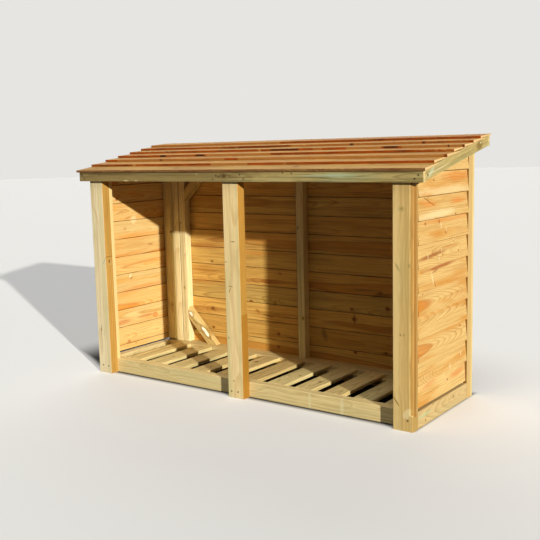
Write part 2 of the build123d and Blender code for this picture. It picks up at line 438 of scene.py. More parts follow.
def past(axis, limit, fade=0.0015, under=False):
    """Makes a mask of the surface that lies past a limit along an axis of the object."""

    def mask_of(tree):
        place = tree.nodes.new("ShaderNodeTexCoord").outputs["Object"]
        value = parts_of(tree, place)["XYZ".index(axis)]
        start, end = (limit + fade, limit) if under else (limit - fade, limit)
        return ease(tree, value, start, end)

    return mask_of


post_wood = {
    "pale": paint("f2dca3"),
    "ring": paint("c8a05a"),
    "heart": paint("dcae72"),
    "streak": paint("cdc590"),
    "streaks": 0.5,
    "lines": 0.3,
    "halo": paint("c6a765"),
    "knot": paint("7c6838"),
}
post_side = paint("c99a4c")
wane_edge = paint("ae8440")
wane_colour = paint("c8984e")
# How far in from a face the colour of that face begins
face_skin = 0.001
# The rounding of the waney arris, the height and slant at which it runs out, and its ragged edge
wane_radius = 0.018
wane_foot = 0.074
wane_fade = 0.004
wane_slant = 0.72
wane_ragged = 0.003
# The heights from and to which a saw mark crosses the side of the middle post, and its middle
saw_mark_low = 0.391
saw_mark_high = 0.398
saw_mark_middle = 0.395

left_low, left_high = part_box("front_post_left")
middle_low, middle_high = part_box("front_post_middle")
right_low, right_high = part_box("front_post_right")
front_y = left_low.y
# Marks along the depth of the store are placed from this line
mark_line = front_y + 0.3065


def side_spot(face_x, place, size):
    """Makes a mask of an oval on the right side of a post. place and size are along Y and Z."""

    def mask_of(tree):
        spot = tree.nodes.new("ShaderNodeTexCoord").outputs["Object"]
        x, y, z = parts_of(tree, spot)
        aside = reckon(tree, "DIVIDE", reckon(tree, "SUBTRACT", y, place[0]), size[0])
        above = reckon(tree, "DIVIDE", reckon(tree, "SUBTRACT", z, place[1]), size[1])
        apart = reckon(tree, "MULTIPLY_ADD", aside, aside, reckon(tree, "MULTIPLY", above, above))
        near = ease(tree, apart, 1.3, 0.6)
        at_face = ease(tree, x, face_x - 2 * face_skin, face_x - face_skin)
        return reckon(tree, "MULTIPLY", near, at_face)

    return mask_of


finish_node(
    "front_post_left",
    {**post_wood, "pale": paint("fbe9bb"), "ring": paint("ccab6c")},
    {"order": UPRIGHT, "centre": (0.7, (left_low.x + left_high.x) / 2, front_y)},
    knots=[(-0.47, -0.018, 0.004)],
    pith=(0.012, -0.03, 0.09),
    ring_width=0.0075,
    patches=[
        ((-0.475, -0.016), (0.03, 0.0022, 0.3), 0.09, "8a6c3a", 0.75),
        ((0.0, 0.024), (0.7, 0.012, 0.6), 0.0, "e3d498", 0.5),
        ((0.0, -0.012), (0.6, 0.0016, 0.6), 0.012, "d9a886", 0.7),
        ((-0.115, 0.022), (0.03, 0.004, 0.4), 0.71, "dfe0bd", 0.8),
        ((-0.1, 0.034), (0.026, 0.0016, 0.4), 0.6, "8c7a48", 0.7),
    ],
    faces=[
        (past("X", left_high.x - face_skin), post_side),
        (side_spot(left_high.x, (-0.284, 0.585), (0.009, 0.017)), paint("fffdf0")),
        (side_spot(left_high.x, (-0.29, 0.593), (0.006, 0.009)), paint("b89a6c")),
    ],
)


def middle_side_foot(tree):
    """Masks the side of the middle post below the pale saw mark across it."""
    foot = past("Z", saw_mark_middle, 0.004, under=True)(tree)
    return reckon(tree, "MULTIPLY", foot, past("X", middle_high.x - face_skin)(tree))


def middle_side_mark(tree):
    """Masks the pale saw mark across the side of the middle post."""
    above = past("Z", saw_mark_low, 0.002)(tree)
    below = past("Z", saw_mark_high, 0.002, under=True)(tree)
    line = reckon(tree, "MULTIPLY", above, below)
    return reckon(tree, "MULTIPLY", line, past("X", middle_high.x - face_skin)(tree))


finish_node(
    "front_post_middle",
    {
        **post_wood,
        "pale": paint("fde2a4"),
        "ring": paint("d6ac68"),
        "streak": paint("dccb90"),
        "lines": 0.24,
    },
    {"order": UPRIGHT, "centre": (0.0, (middle_low.x + middle_high.x) / 2, front_y)},
    knots=[(0.284, -0.032, 0.003), (0.081, -0.01, 0.003)],
    pith=(-0.008, 0.02, 0.11),
    ring_width=0.008,
    patches=[
        ((0.7355, 0.006), (0.003, 0.012, 0.4), 0.0, "8a7444", 0.8),
        ((0.528, -0.012), (0.003, 0.013, 0.4), 0.0, "80693a", 0.85),
        ((0.512, -0.017), (0.012, 0.0025, 0.4), 0.4, "80693a", 0.8),
        ((0.54, -0.014), (0.02, 0.009, 0.5), 0.0, "d6c48a", 0.5),
        ((0.64, -0.036), (0.003, 0.006, 0.4), 0.0, "9a8452", 0.7),
        ((0.3, 0.0), (0.45, 0.006, 0.6), 0.0, "ecc795", 0.35),
        ((0.85, -0.005), (0.3, 0.005, 0.6), 0.0, "e2bd88", 0.35),
        ((0.2, -0.038), (0.35, 0.012, 0.6), 0.0, "cdc68c", 0.45),
        ((0.45, 0.035), (0.5, 0.012, 0.6), 0.0, "d3c78e", 0.4),
    ],
    faces=[
        (past("X", middle_high.x - face_skin), paint("c59241")),
        (middle_side_foot, paint("ecc676")),
        (middle_side_mark, paint("fbe2a6")),
    ],
)


def waney_arris(start, end):
    """Makes a mask of the rounded outer arris of the right-hand post, from one depth to another.

    The mask stops above the place where the rounding runs out."""

    def mask_of(tree):
        place = tree.nodes.new("ShaderNodeTexCoord").outputs["Object"]
        x, y, z = parts_of(tree, place)
        from_front = reckon(tree, "SUBTRACT", y, front_y)
        from_side = reckon(tree, "SUBTRACT", right_high.x, x)
        uneven = speckle(tree, place, (60.0, 60.0, 9.0))["Fac"]
        depth = reckon(tree, "MULTIPLY_ADD", uneven, wane_ragged, from_front)
        depth = reckon(tree, "SUBTRACT", depth, wane_ragged / 2)
        begun = ease(tree, depth, start - 0.001, start + 0.001)
        band = reckon(tree, "MULTIPLY", begun, ease(tree, depth, end + wane_ragged, end))
        near = ease(tree, from_side, wane_radius * 1.02, wane_radius * 0.92)
        inset = reckon(tree, "ADD", from_front, from_side)
        cut = reckon(tree, "MULTIPLY_ADD", inset, wane_slant, z)
        above = ease(tree, cut, wane_foot, wane_foot + wane_fade)
        return reckon(tree, "MULTIPLY", reckon(tree, "MULTIPLY", band, near), above)

    return mask_of


finish_node(
    "front_post_right",
    {**post_wood, "pale": paint("e1be78"), "ring": paint("b08c4c"), "streak": paint("c8b878")},
    {"order": UPRIGHT, "centre": (0.0, (right_low.x + right_high.x) / 2, front_y)},
    knots=[(0.398, -0.01, 0.0035), (0.398, 0.004, 0.003), (0.904, -0.005, 0.004)],
    pith=(0.006, -0.05, 0.08),
    ring_width=0.0085,
    patches=[
        ((0.55, -0.03), (0.6, 0.016, 0.5), 0.0, "efd18e", 0.65),
        ((0.55, 0.02), (0.6, 0.012, 0.6), 0.0, "c6a662", 0.5),
        ((0.12, -0.0295), (0.02, 0.004, 0.35), -0.7, "94712f", 0.85),
        ((0.076, 0.022), (0.022, 0.018, 0.25), 0.5, "edd9a0", 0.7),
        ((0.672, -0.024), (0.018, 0.006, 0.5), -0.55, "8c8148", 0.5),
        ((0.68, 0.028), (0.008, 0.004, 0.5), 0.0, "8c8148", 0.5),
        ((0.904, -0.005), (0.01, 0.014, 0.5), 0.0, "a89a5c", 0.45),
    ],
    faces=[
        (past("X", right_high.x - face_skin), paint("c29a56")),
        (waney_arris(0.0012, 0.0065), wane_edge),
        (waney_arris(0.0085, 0.03), wane_colour),
    ],
)


# Rear posts and corner strips
# The rear corner posts are the same timber, set in from the corner. A strip on the side of each
# and another on its back close the corner and cover the ends of the boards. Nailed.

strip_wood = {
    **post_wood,
    "pale": paint("d8b676"),
    "ring": paint("b98a44"),
    "streak": paint("cbb070"),
}
# Painted shade on faces that show only in the narrow gaps and notches at the boards' ends
painted_gap_shade = paint("8f6932")
strip_x = 0.91
strip_seam = 0.0005
strip_skin = 0.0008
for side, sign in (("left", -1), ("right", 1)):
    low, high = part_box(f"rear_post_{side}")
    middle = (low + high) / 2
    finish_node(
        f"rear_post_{side}",
        {**post_wood, "pale": paint("fdebb2"), "ring": paint("d2ae68")},
        {"order": UPRIGHT, "centre": (sign * 0.8, middle.x, low.y)},
        knots=[(-0.25 * sign, 0.02, 0.007), (0.3 * sign, -0.01, 0.005)],
        pith=(0.01, 0.03, 0.07),
        ring_width=0.006,
    )
    finish_node(
        f"corner_strips_{side}",
        strip_wood,
        {"order": UPRIGHT_SIDE, "centre": (sign * 3.1, high.y, sign * strip_x)},
        knots=[(0.4, 0.0, 0.005)],
        pith=(0.01, 0.02, 0.05),
        ring_width=0.005,
        faces=[
            (past("Y", high.y + strip_seam), paint("e9cf8c")),
            # Painted shade: the strip's front face, seen in the notches under each board's thick
            # edge
            (past("Y", low.y + strip_skin, under=True), painted_gap_shade),
        ],
    )


# Base rails
# Five planed bars, 45 by 72 mm, on edge: the two side rails, the floor's front and rear rail,
# and the bottom rail of the back panel. They lie flat on the ground, screwed to the posts.

rail_middle = 0.036
rail_wood = {
    "pale": paint("e0ca90"),
    "ring": paint("a88d4a"),
    "heart": paint("cba663"),
    "streak": paint("bcb985"),
    "streaks": 0.5,
    "lines": 0.3,
    "halo": paint("b59a58"),
    "knot": paint("7d6a38"),
}
finish_node(
    "floor_front_rail",
    {**rail_wood, "pale": paint("ead294"), "streak": paint("d3c38b")},
    {"order": LEVEL, "centre": (0.0, rail_middle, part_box("floor_front_rail")[0].y)},
    knots=[(-0.62, 0.02, 0.002)],
    pith=(0.012, 0.02, 0.06),
    ring_width=0.006,
    patches=[
        ((0.387, 0.0), (0.008, 0.04, 0.4), 0.0, "e9dca8", 0.6),
        ((0.554, 0.0), (0.01, 0.04, 0.4), 0.0, "e9dca8", 0.6),
        ((-0.2, 0.01), (0.3, 0.02, 0.6), 0.0, "d8cb92", 0.4),
    ],
)
finish_node(
    "floor_rear_rail",
    rail_wood,
    {"order": LEVEL, "centre": (5.0, rail_middle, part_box("floor_rear_rail")[0].y)},
    knots=[(-4.6, 0.0, 0.008), (-5.4, 0.01, 0.006)],
    pith=(-0.01, -0.02, 0.05),
)
finish_node(
    "back_bottom_rail",
    {**rail_wood, "pale": paint("e6c986")},
    {"order": LEVEL, "centre": (7.0, rail_middle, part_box("back_bottom_rail")[0].y)},
    knots=[(-6.7, 0.01, 0.007), (-7.4, 0.0, 0.006)],
    pith=(0.008, 0.03, 0.07),
)
finish_node(
    "side_rail_right",
    {**rail_wood, "pale": paint("d8ba80"), "ring": paint("a17f40"), "streaks": 0.3},
    {"order": INWARD, "centre": (mark_line, rail_middle, right_high.x)},
    knots=[(0.091, 0.014, 0.006), (-0.188, -0.016, 0.005)],
    pith=(0.075, 0.006, -0.05),
    ring_width=0.0062,
    ring_show=0.95,
    patches=[((-0.2, 0.009), (0.06, 0.004, 0.5), 0.03, "a9cf9a", 0.7)],
)
finish_node(
    "side_rail_left",
    rail_wood,
    {"order": INWARD, "centre": (2.0, rail_middle, left_low.x)},
    knots=[(-2.1, 0.01, 0.007)],
    pith=(-0.05, 0.0, 0.05),
    ring_width=0.006,
)


# Lapped side boards
# Feather-edged boards: resawn on the slant, 11 mm thick at the lower edge and 4 mm at the upper,
# each nailed with its thick edge over the thin edge of the one below. Sawn larch-coloured
# softwood with orange heartwood. The top ones are cut off along the slope of the roof.

board_width = 0.125
board_butt = 0.011
board_thin = 0.004
board_arris = 0.0009
wall_cover = 0.096
lap_gap = 0.0003
seat_gap = 0.0003
no_knot = (-90.0, 0.0, 0.001)


def stand_off(feet):
    """How far the inner face of each board stands off at its foot, from how far up the feet are."""
    standing = [seat_gap]
    thin_face = seat_gap + board_thin
    for foot, next_foot in zip(feet, feet[1:]):
        lap = (foot + board_width - next_foot) / board_width
        below = standing[-1] + board_butt
        standing.append(thin_face + (below - thin_face) * lap + lap_gap)
    return standing


def wedge(standing, up):
    """Where a board's inner face lies, and how thick it is, a share of the way up the board."""
    inner = standing + (seat_gap - standing) * up
    return inner, board_butt + (board_thin - board_butt) * up


def ease_bar(bm, length, arris, segments, cuts):
    """Ease the arrises of a bar, and divide it along its length so that its edges can wander."""
    bmesh.ops.bevel(
        bm,
        geom=list(bm.edges),
        offset=arris,
        offset_type="OFFSET",
        segments=segments,
        profile=0.5,
        affect="EDGES",
        material=-1,
    )
    long_edges = [e for e in bm.edges if e.calc_length() > length * 0.9]
    bmesh.ops.subdivide_edges(bm, edges=long_edges, cuts=cuts, use_grid_fill=True)


def feather_board(length, standing, marks, cuts=24, wander=0.0012, fray=0.0):
    """One board: a bar drawn to its wedge, its edges eased and then let wander as sawn ones do.

    It lies with X along it, Y from its lower edge to its upper one, and Z outwards."""
    bm = new_boards()
    bar = bmesh.ops.create_cube(bm, size=1.0)["verts"]
    for corner in bar:
        up, out = corner.co.y + 0.5, corner.co.z + 0.5
        inner, thickness = wedge(standing, up)
        corner.co = ((corner.co.x + 0.5) * length, up * board_width, inner + out * thickness)
    ease_bar(bm, length, board_arris, segments=2, cuts=cuts)
    seed = marks["seed"]
    reach = 0.02
    for v in bm.verts:
        low = 1.0 - min(v.co.y / reach, 1.0)
        waver = noise.noise((v.co.x * 3.1 + seed, 0.0, 0.5))
        ragged = noise.noise((v.co.x * 60 + seed, v.co.z * 90, 1.5))
        if 0.0 < v.co.x < length:
            v.co.y += low * (abs(waver) * wander + abs(ragged) * fray)
            v.co.z -= low * abs(ragged) * fray
    mark_board(bm, marks)
    return bm


def mark_board(bm, marks):
    """Write on a board's points its own grain, knots, pith and tone."""
    layers = bm.verts.layers.float_vector
    shift = Vector((marks["seed"], 0.0, 0.0))
    knots = [Vector(k) + shift for k in marks["knots"]][:3]
    knots += [Vector(no_knot)] * (3 - len(knots))
    lean, pith_across, pith_depth = marks["pith"]
    own_pith = Vector((lean, pith_across, pith_depth - lean * marks["seed"]))
    for v in bm.verts:
        v[layers["grain"]] = v.co + shift
        for number, knot in enumerate(knots, start=1):
            v[layers[f"knot_{number}"]] = knot
        v[layers["pith"]] = own_pith
        v[layers["tone"]] = marks["tone"]
        v[layers["form"]] = marks["form"]


def new_boards():
    """An empty mesh whose points can carry what a board's finish reads."""
    bm = bmesh.new()
    for name in ("grain", "knot_1", "knot_2", "knot_3", "pith", "tone", "form"):
        bm.verts.layers.float_vector.new(name)
    return bm


def cut_board(bm, point, normal):
    """Saw a board off along a plane and close the cut."""
    everything = [*bm.verts, *bm.edges, *bm.faces]
    bmesh.ops.bisect_plane(
        bm, geom=everything, plane_co=point, plane_no=normal, clear_outer=True
    )
    open_edges = [e for e in bm.edges if e.is_boundary]
    if open_edges:
        bmesh.ops.holes_fill(bm, edges=open_edges)


def lay_board(boards, bm, place):
    """Put a finished board with the others. place turns its own frame into the object's."""
    bm.transform(place)
    mesh = bpy.data.meshes.new("board")
    bm.to_mesh(mesh)
    bm.free()
    boards.from_mesh(mesh)
    bpy.data.meshes.remove(mesh)


def frame_of(origin, along, up, out):
    """The matrix of a board's own frame: where its lower corner is and how its axes lie."""
    turn = Matrix((along, up, out)).transposed()
    return Matrix.Translation(origin) @ turn.to_4x4()


def chance_marks(rng, length, heart_share=0.5, knot_count=3, low_tone=0.93):
    """A board's own knots, pith and tone, as chance gives them."""
    knots = []
    for number in range(rng.randint(max(knot_count - 2, 0), knot_count)):
        knots.append(
            (
                length * (number + rng.uniform(0.15, 0.85)) / knot_count,
                rng.uniform(0.02, 0.09),
                rng.uniform(0.003, 0.009),
            )
        )
    lean = rng.choice((-1, 1)) * rng.uniform(0.006, 0.05)
    heart = rng.uniform(0.03, 0.05) if rng.random() < heart_share else 0.0
    deep = -rng.uniform(0.025, 0.06) - lean * length * rng.uniform(0.2, 0.8)
    return {
        "seed": rng.uniform(2.0, 60.0),
        "knots": knots,
        "pith": (lean, rng.uniform(0.02, 0.09), deep),
        "tone": (heart, rng.uniform(low_tone, 1.05), rng.uniform(-0.12, 0.12)),
        "form": (rng.uniform(0.015, 0.04), rng.uniform(0.0035, 0.006), 0.0),
    }


def new_piece(bm, name, finish):
    """Turn finished shapes into a piece of the store, which is one fixed body."""
    mesh = bpy.data.meshes.new(name)
    bmesh.ops.recalc_face_normals(bm, faces=bm.faces)
    bm.to_mesh(mesh)
    bm.free()
    mesh.materials.append(finish)
    piece = bpy.data.objects.new(name, mesh)
    bpy.context.scene.collection.objects.link(piece)
    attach(piece, "root")
    return piece


def finish_boards(bm, name, finish, node):
    """Turn the finished boards into a piece that stands for its node."""
    piece = new_piece(bm, name, finish)
    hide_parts(node)


def tongue(tip, middle, lean, heart, face=0.008):
    """The pith of a board whose heartwood shows as a tongue with its tip at a place along it."""
    return (lean, middle, face - heart - lean * tip)


board_wood = {
    "pale": paint("e4c07a"),
    "ring": paint("ae7529"),
    "heart": paint("cf8431"),
    "streak": paint("cc8c37"),
    "streaks": 0.85,
    "lines": 0.33,
    "halo": paint("bd7c38"),
    "knot": paint("85501f"),
    # The painted shade along the lapped edges of the boards
    "lap": paint("5a3614"),
}
left_board_wood = {
    **board_wood,
    "lines": 0.25,
    "streaks": 0.7,
    "pale": paint("eac67f"),
    "ring": paint("c08030"),
    "heart": paint("df953b"),
    "streak": paint("e6a344"),
    "halo": paint("cf8c44"),
}
# Marks on the right-hand wall, by their distance in depth from the marks' line and their height
right_wall_patches = [
    ((0.09, 1.05), (0.0012, 0.01, 0.3), 0.0, "8a5a2a", 0.8),
    ((0.133, 1.016), (0.13, 0.02, 0.6), 0.0, "d4822f", 0.7),
    ((0.0, 0.963), (0.26, 0.016, 0.5), 0.0, "f8e0aa", 0.5),
    ((-0.145, 0.921), (0.048, 0.0026, 0.4), -0.43, "5a3212", 0.9),
    ((-0.125, 0.913), (0.03, 0.0022, 0.4), -0.25, "6e3c14", 0.8),
    ((0.138, 0.913), (0.075, 0.013, 0.6), 0.02, "d98535", 0.65),
    ((-0.141, 0.912), (0.07, 0.013, 0.6), -0.1, "dc8a3a", 0.5),
    ((-0.08, 0.868), (0.17, 0.015, 0.5), 0.03, "f7dfa9", 0.6),
    ((0.098, 0.856), (0.007, 0.006, 0.4), 0.0, "a36229", 0.8),
    ((0.02, 0.838), (0.24, 0.008, 0.6), 0.0, "d98c3e", 0.5),
    ((-0.035, 0.818), (0.003, 0.012, 0.5), 0.6, "f9e3b2", 0.8),
    ((0.012, 0.8), (0.003, 0.01, 0.5), 0.6, "f9e3b2", 0.7),
    ((-0.12, 0.702), (0.12, 0.008, 0.6), 0.06, "9c5c26", 0.85),
    ((0.07, 0.722), (0.09, 0.005, 0.6), 0.0, "bd7a38", 0.5),
    ((-0.015, 0.646), (0.155, 0.007, 0.6), 0.03, "a45a26", 0.8),
    ((-0.09, 0.632), (0.03, 0.004, 0.5), 0.1, "8f4c1e", 0.6),
    ((-0.121, 0.604), (0.007, 0.02, 0.6), -1.6, "f6dda6", 0.6),
    ((-0.03, 0.712), (0.003, 0.014, 0.5), -1.0, "f9e3b2", 0.5),
    ((-0.06, 0.684), (0.003, 0.014, 0.5), 0.8, "f9e3b2", 0.5),
    ((-0.165, 0.7), (0.003, 0.012, 0.5), 0.8, "f9e3b2", 0.6),
    ((0.1, 0.75), (0.003, 0.01, 0.5), 0.8, "f9e3b2", 0.6),
    ((0.18, 0.226), (0.004, 0.012, 0.5), 0.0, "fae8bd", 0.5),
    ((0.057, 0.196), (0.005, 0.014, 0.5), 0.3, "fae8bd", 0.5),
    ((0.15, 0.143), (0.08, 0.013, 0.6), 0.05, "dd914c", 0.75),
    ((-0.137, 0.158), (0.06, 0.01, 0.6), 0.1, "dfa062", 0.6),
]
# The same for the inside of the left-hand wall
left_wall_patches = [
    ((-0.066, 0.476), (0.008, 0.016, 0.4), 0.0, "f9e0a8", 0.85),
    ((-0.062, 0.468), (0.011, 0.006, 0.4), 0.3, "a65f28", 0.8),
    ((0.118, 0.235), (0.016, 0.015, 0.2), 0.0, "c9783a", 0.75),
    ((0.118, 0.235), (0.009, 0.009, 0.4), 0.0, "e0a25c", 0.8),
    ((0.045, 0.243), (0.06, 0.007, 0.5), 0.0, "c06a2c", 0.6),
    ((-0.15, 0.235), (0.07, 0.014, 0.6), 0.05, "c8743a", 0.6),
    ((-0.1, 0.123), (0.012, 0.01, 0.5), 0.0, "b9703a", 0.7),
    ((-0.022, 0.784), (0.02, 0.018, 0.4), 0.3, "f8dfa8", 0.6),
    ((-0.06, 0.8), (0.02, 0.003, 0.5), 0.3, "b36a2c", 0.7),
    ((-0.12, 0.832), (0.03, 0.0025, 0.5), 0.25, "b36a2c", 0.6),
    ((-0.09, 0.742), (0.012, 0.008, 0.4), 0.0, "c98a5a", 0.6),
    ((0.06, 0.55), (0.16, 0.006, 0.7), 0.05, "cf8440", 0.5),
    ((0.0, 0.7), (0.14, 0.02, 0.7), 0.0, "e39a48", 0.5),
    ((-0.1, 0.6), (0.16, 0.01, 0.7), 0.05, "df9440", 0.5),
    ((0.02, 0.41), (0.16, 0.014, 0.7), 0.05, "dd9345", 0.55),
    ((0.1, 0.64), (0.02, 0.006, 0.5), 0.0, "a8662e", 0.6),
]

roof_pitch = math.radians(11.5)
roof_low, roof_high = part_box("roof_board_1")
eaves_z = roof_low.z - seat_gap * math.cos(roof_pitch)
eaves_y = roof_low.y + (board_butt + seat_gap) * math.sin(roof_pitch)
under_roof = Vector((0.0, eaves_y, eaves_z))
roof_normal = Vector((0.0, -math.sin(roof_pitch), math.cos(roof_pitch)))

# What each board of the right-hand wall shows, from the bottom one up. A place is its distance
# from the front end of the board and from its lower edge. The calm ones have rings that wander
# little.
calm = (0.007, 0.0045, 0.0)
wall_marks = {
    0: {"knots": [(0.3, 0.053, 0.004)], "tone": (0.0, 1.08, -0.06)},
    1: {"knots": [(0.07, 0.094, 0.003)], "tone": (0.0, 1.02, 0.0), "pith": (0.16, 0.02, -0.05)},
    2: {
        "knots": [(0.427, 0.079, 0.004)],
        "pith": tongue(0.2, 0.043, -0.07, 0.04),
        "tone": (0.04, 1.0, 0.0),
        "form": calm,
    },
    3: {
        "pith": tongue(0.24, 0.072, -0.06, 0.05),
        "tone": (0.03, 1.0, 0.02),
        "knots": [],
        "form": calm,
    },
    4: {
        "knots": [(0.05, 0.084, 0.003), (0.489, 0.027, 0.003)],
        "pith": tongue(0.21, 0.036, -0.075, 0.042),
        "tone": (0.042, 1.0, 0.0),
        "form": calm,
    },
    5: {"knots": [(0.152, 0.011, 0.004), (0.147, 0.02, 0.003)], "tone": (0.0, 1.0, 0.03)},
    6: {
        "knots": [(0.39, 0.035, 0.004), (0.228, 0.034, 0.004), (0.356, 0.078, 0.003)],
        "tone": (0.0, 1.0, 0.02),
    },
    7: {
        "knots": [(0.204, 0.079, 0.005), (0.072, 0.08, 0.005), (0.255, 0.03, 0.004)],
        "pith": (0.03, 0.12, -0.03),
        "tone": (0.034, 0.99, 0.05),
    },
    8: {"knots": [(0.348, 0.004, 0.003)], "pith": (0.02, 0.085, -0.04), "tone": (0.0, 1.0, 0.03)},
    9: {"knots": [(0.146, 0.061, 0.004)], "tone": (0.0, 1.03, 0.02)},
    10: {"knots": [], "pith": (0.0, 0.05, -0.02), "tone": (0.0, 1.02, 0.02)},
}


def side_courses(side, sign):
    """Each board of a side wall: its number, its foot, its stand-off and where its frame lies."""
    low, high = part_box(f"side_boards_{side}")
    count = math.ceil((high.z - board_width - low.z) / wall_cover) + 1
    wall_x = min(abs(low.x), abs(high.x)) - seat_gap
    for course, standing in enumerate(stand_off([wall_cover * n for n in range(count)])):
        foot = low.z + course * wall_cover
        place = frame_of((sign * wall_x, low.y, foot), (0, 1, 0), (0, 0, 1), (sign, 0, 0))
        yield course, foot, standing, place


rng = random.Random(11)
for side, sign in (("right", 1), ("left", -1)):
    low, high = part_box(f"side_boards_{side}")
    length = high.y - low.y
    boards = new_boards()
    for course, foot, standing, place in side_courses(side, sign):
        marks = chance_marks(rng, length, knot_count=2 if side == "right" else 1)
        if side == "right":
            marks.update(wall_marks.get(course, {}))
        board = feather_board(length, standing, marks)
        roof_face = place.inverted() @ (under_roof - roof_normal * seat_gap)
        cut_board(board, roof_face, place.to_3x3().inverted() @ roof_normal)
        lay_board(boards, board, place)
    patches = right_wall_patches if side == "right" else left_wall_patches
    side_finish = timber_finish(
        f"side_board_{side}_wood",
        board_wood if side == "right" else left_board_wood,
        ring_show=1.0,
        patches=patches,
        patch_grain={"order": INWARD, "centre": (mark_line, 0.0, 0.0)},
        lap_shade_lines=(("X", sign), wall_cover, board_width - wall_cover),
    )
    finish_boards(
        boards, f"side_boards_{side}_lapped", side_finish, f"side_boards_{side}"
    )


# Battens behind the side boards
# Square-planed battens that the side boards are nailed to: a slim one behind the front post and
# a wider one before the rear post. Pale, pressure-treated softwood.

batten_x = 0.86
batten_skin = 0.0008
for side, sign in (("left", -1), ("right", 1)):
    low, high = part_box(f"side_battens_{side}")
    face_x = (high.x if sign > 0 else low.x) - sign * batten_skin
    finish_node(
        f"side_battens_{side}",
        {**post_wood, "pale": paint("ecd592")},
        {"order": UPRIGHT, "centre": (sign * 1.7, sign * batten_x, low.y)},
        knots=[(0.28 - sign * 1.7, 0.0, 0.006), (0.7 - sign * 1.7, 0.01, 0.005)],
        pith=(0.01, 0.02, 0.05),
        ring_width=0.0055,
        # Painted shade on the batten's outer face, behind the boards
        faces=[(past("X", face_x, 0.0005, under=sign < 0), painted_gap_shade)],
    )


# Back panel
# The same feather-edged boards, nailed across three studs and two rails, with a brace at each
# inner corner. The boards are knottier and more golden than those of the sides. The lower left
# brace keeps a rounded, waney upper arris with two pale scars of knots.

back_wood = {
    "pale": paint("f0c46a"),
    "ring": paint("a8702c"),
    "heart": paint("cf9440"),
    "streak": paint("c48f40"),
    "streaks": 0.6,
    "lines": 0.5,
    "halo": paint("a06428"),
    "knot": paint("5c3213"),
    # The painted shade along the lapped edges of the boards
    "lap": paint("2e1b0a"),
}
# Marks on the inside of the back, by their place along X and their height
back_wall_patches = [
    ((-0.23, 0.263), (0.035, 0.003, 0.5), -0.15, "4c2a10", 0.8),
    ((-0.094, 0.265), (0.052, 0.003, 0.5), 0.0, "4c2a10", 0.8),
    ((-0.08, 0.16), (0.035, 0.0025, 0.5), -0.05, "4c2a10", 0.8),
    ((-0.3, 0.283), (0.014, 0.009, 0.6), -0.4, "a4561f", 0.6),
    ((-0.184, 0.338), (0.01, 0.014, 0.6), 0.2, "8a5422", 0.5),
    ((-0.147, 0.5), (0.012, 0.01, 0.6), 0.0, "8a5422", 0.4),
    ((-0.3, 0.6), (0.1, 0.014, 0.7), 0.0, "d59038", 0.6),
    ((-0.3, 0.45), (0.16, 0.01, 0.7), 0.0, "b06a26", 0.55),
    ((-0.65, 0.62), (0.12, 0.015, 0.7), 0.0, "b87430", 0.55),
    ((-0.66, 0.42), (0.12, 0.012, 0.7), 0.0, "c98638", 0.5),
    ((-0.66, 0.26), (0.12, 0.014, 0.7), 0.0, "a86a2a", 0.55),
    ((-0.25, 0.68), (0.18, 0.02, 0.7), 0.05, "dd9c48", 0.5),
    ((0.302, 0.298), (0.004, 0.03, 0.4), 0.0, "4a2a12", 0.85),
    ((0.125, 0.201), (0.016, 0.026, 0.7), -0.8, "4a2a12", 0.5),
    ((0.36, 0.45), (0.09, 0.006, 0.6), 0.05, "5c3818", 0.5),
    ((0.45, 0.43), (0.05, 0.01, 0.6), 0.1, "5c3818", 0.5),
]
back_finish = timber_finish(
    "back_board_wood",
    back_wood,
    ring_show=0.85,
    patches=back_wall_patches,
    patch_grain={"order": LEVEL, "centre": (0.0, 0.0, 0.0)},
    lap_shade_lines=(("Y", 1), wall_cover, board_width - wall_cover),
)
# Knots that show on the inside of the back, by the number of their board from the bottom: the
# place of each along X, its height and its radius
back_knots = {
    0: [(-0.164, 0.1, 0.006), (0.308, 0.13, 0.006)],
    1: [(-0.165, 0.17, 0.007), (0.477, 0.145, 0.006), (-0.616, 0.16, 0.006)],
    2: [(-0.617, 0.268, 0.008), (0.302, 0.298, 0.009), (0.125, 0.21, 0.012)],
    3: [(-0.346, 0.33, 0.008), (0.287, 0.347, 0.006), (0.487, 0.367, 0.008)],
    4: [(-0.18, 0.376, 0.007), (-0.348, 0.398, 0.009), (0.448, 0.441, 0.006)],
    5: [(-0.147, 0.49, 0.008), (-0.106, 0.457, 0.006), (-0.614, 0.536, 0.005)],
    6: [(-0.184, 0.582, 0.008), (0.3, 0.6, 0.006)],
    7: [(-0.138, 0.65, 0.008), (-0.632, 0.7, 0.004)],
    8: [(-0.139, 0.778, 0.007), (-0.632, 0.76, 0.008), (-0.139, 0.742, 0.008)],
    9: [(-0.142, 0.832, 0.007), (-0.282, 0.863, 0.006)],
    10: [(-0.28, 0.938, 0.007), (0.2, 0.96, 0.007)],
}
back_low, back_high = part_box("back_boards")
back_y = back_low.y - seat_gap
back_length = back_high.x - back_low.x
back_count = math.ceil((back_high.z - back_low.z) / wall_cover)


def back_courses():
    """The same for each board of the back."""
    for course, standing in enumerate(stand_off([wall_cover * n for n in range(back_count)])):
        foot = back_low.z + course * wall_cover
        place = frame_of((back_high.x, back_y, foot), (-1, 0, 0), (0, 0, 1), (0, 1, 0))
        yield course, foot, standing, place


rng = random.Random(23)
boards = new_boards()
for course, foot, standing, place in back_courses():
    marks = chance_marks(rng, back_length, heart_share=0.6, knot_count=4, low_tone=0.8)
    if course in back_knots:
        marks["knots"] = [(back_high.x - x, z - foot, r) for x, z, r in back_knots[course]]
    board = feather_board(back_length, standing, marks, cuts=60)
    cut_board(board, (0, back_high.z - foot, 0), (0, 1, 0))
    lay_board(boards, board, place)
finish_boards(boards, "back_boards_lapped", back_finish, "back_boards")

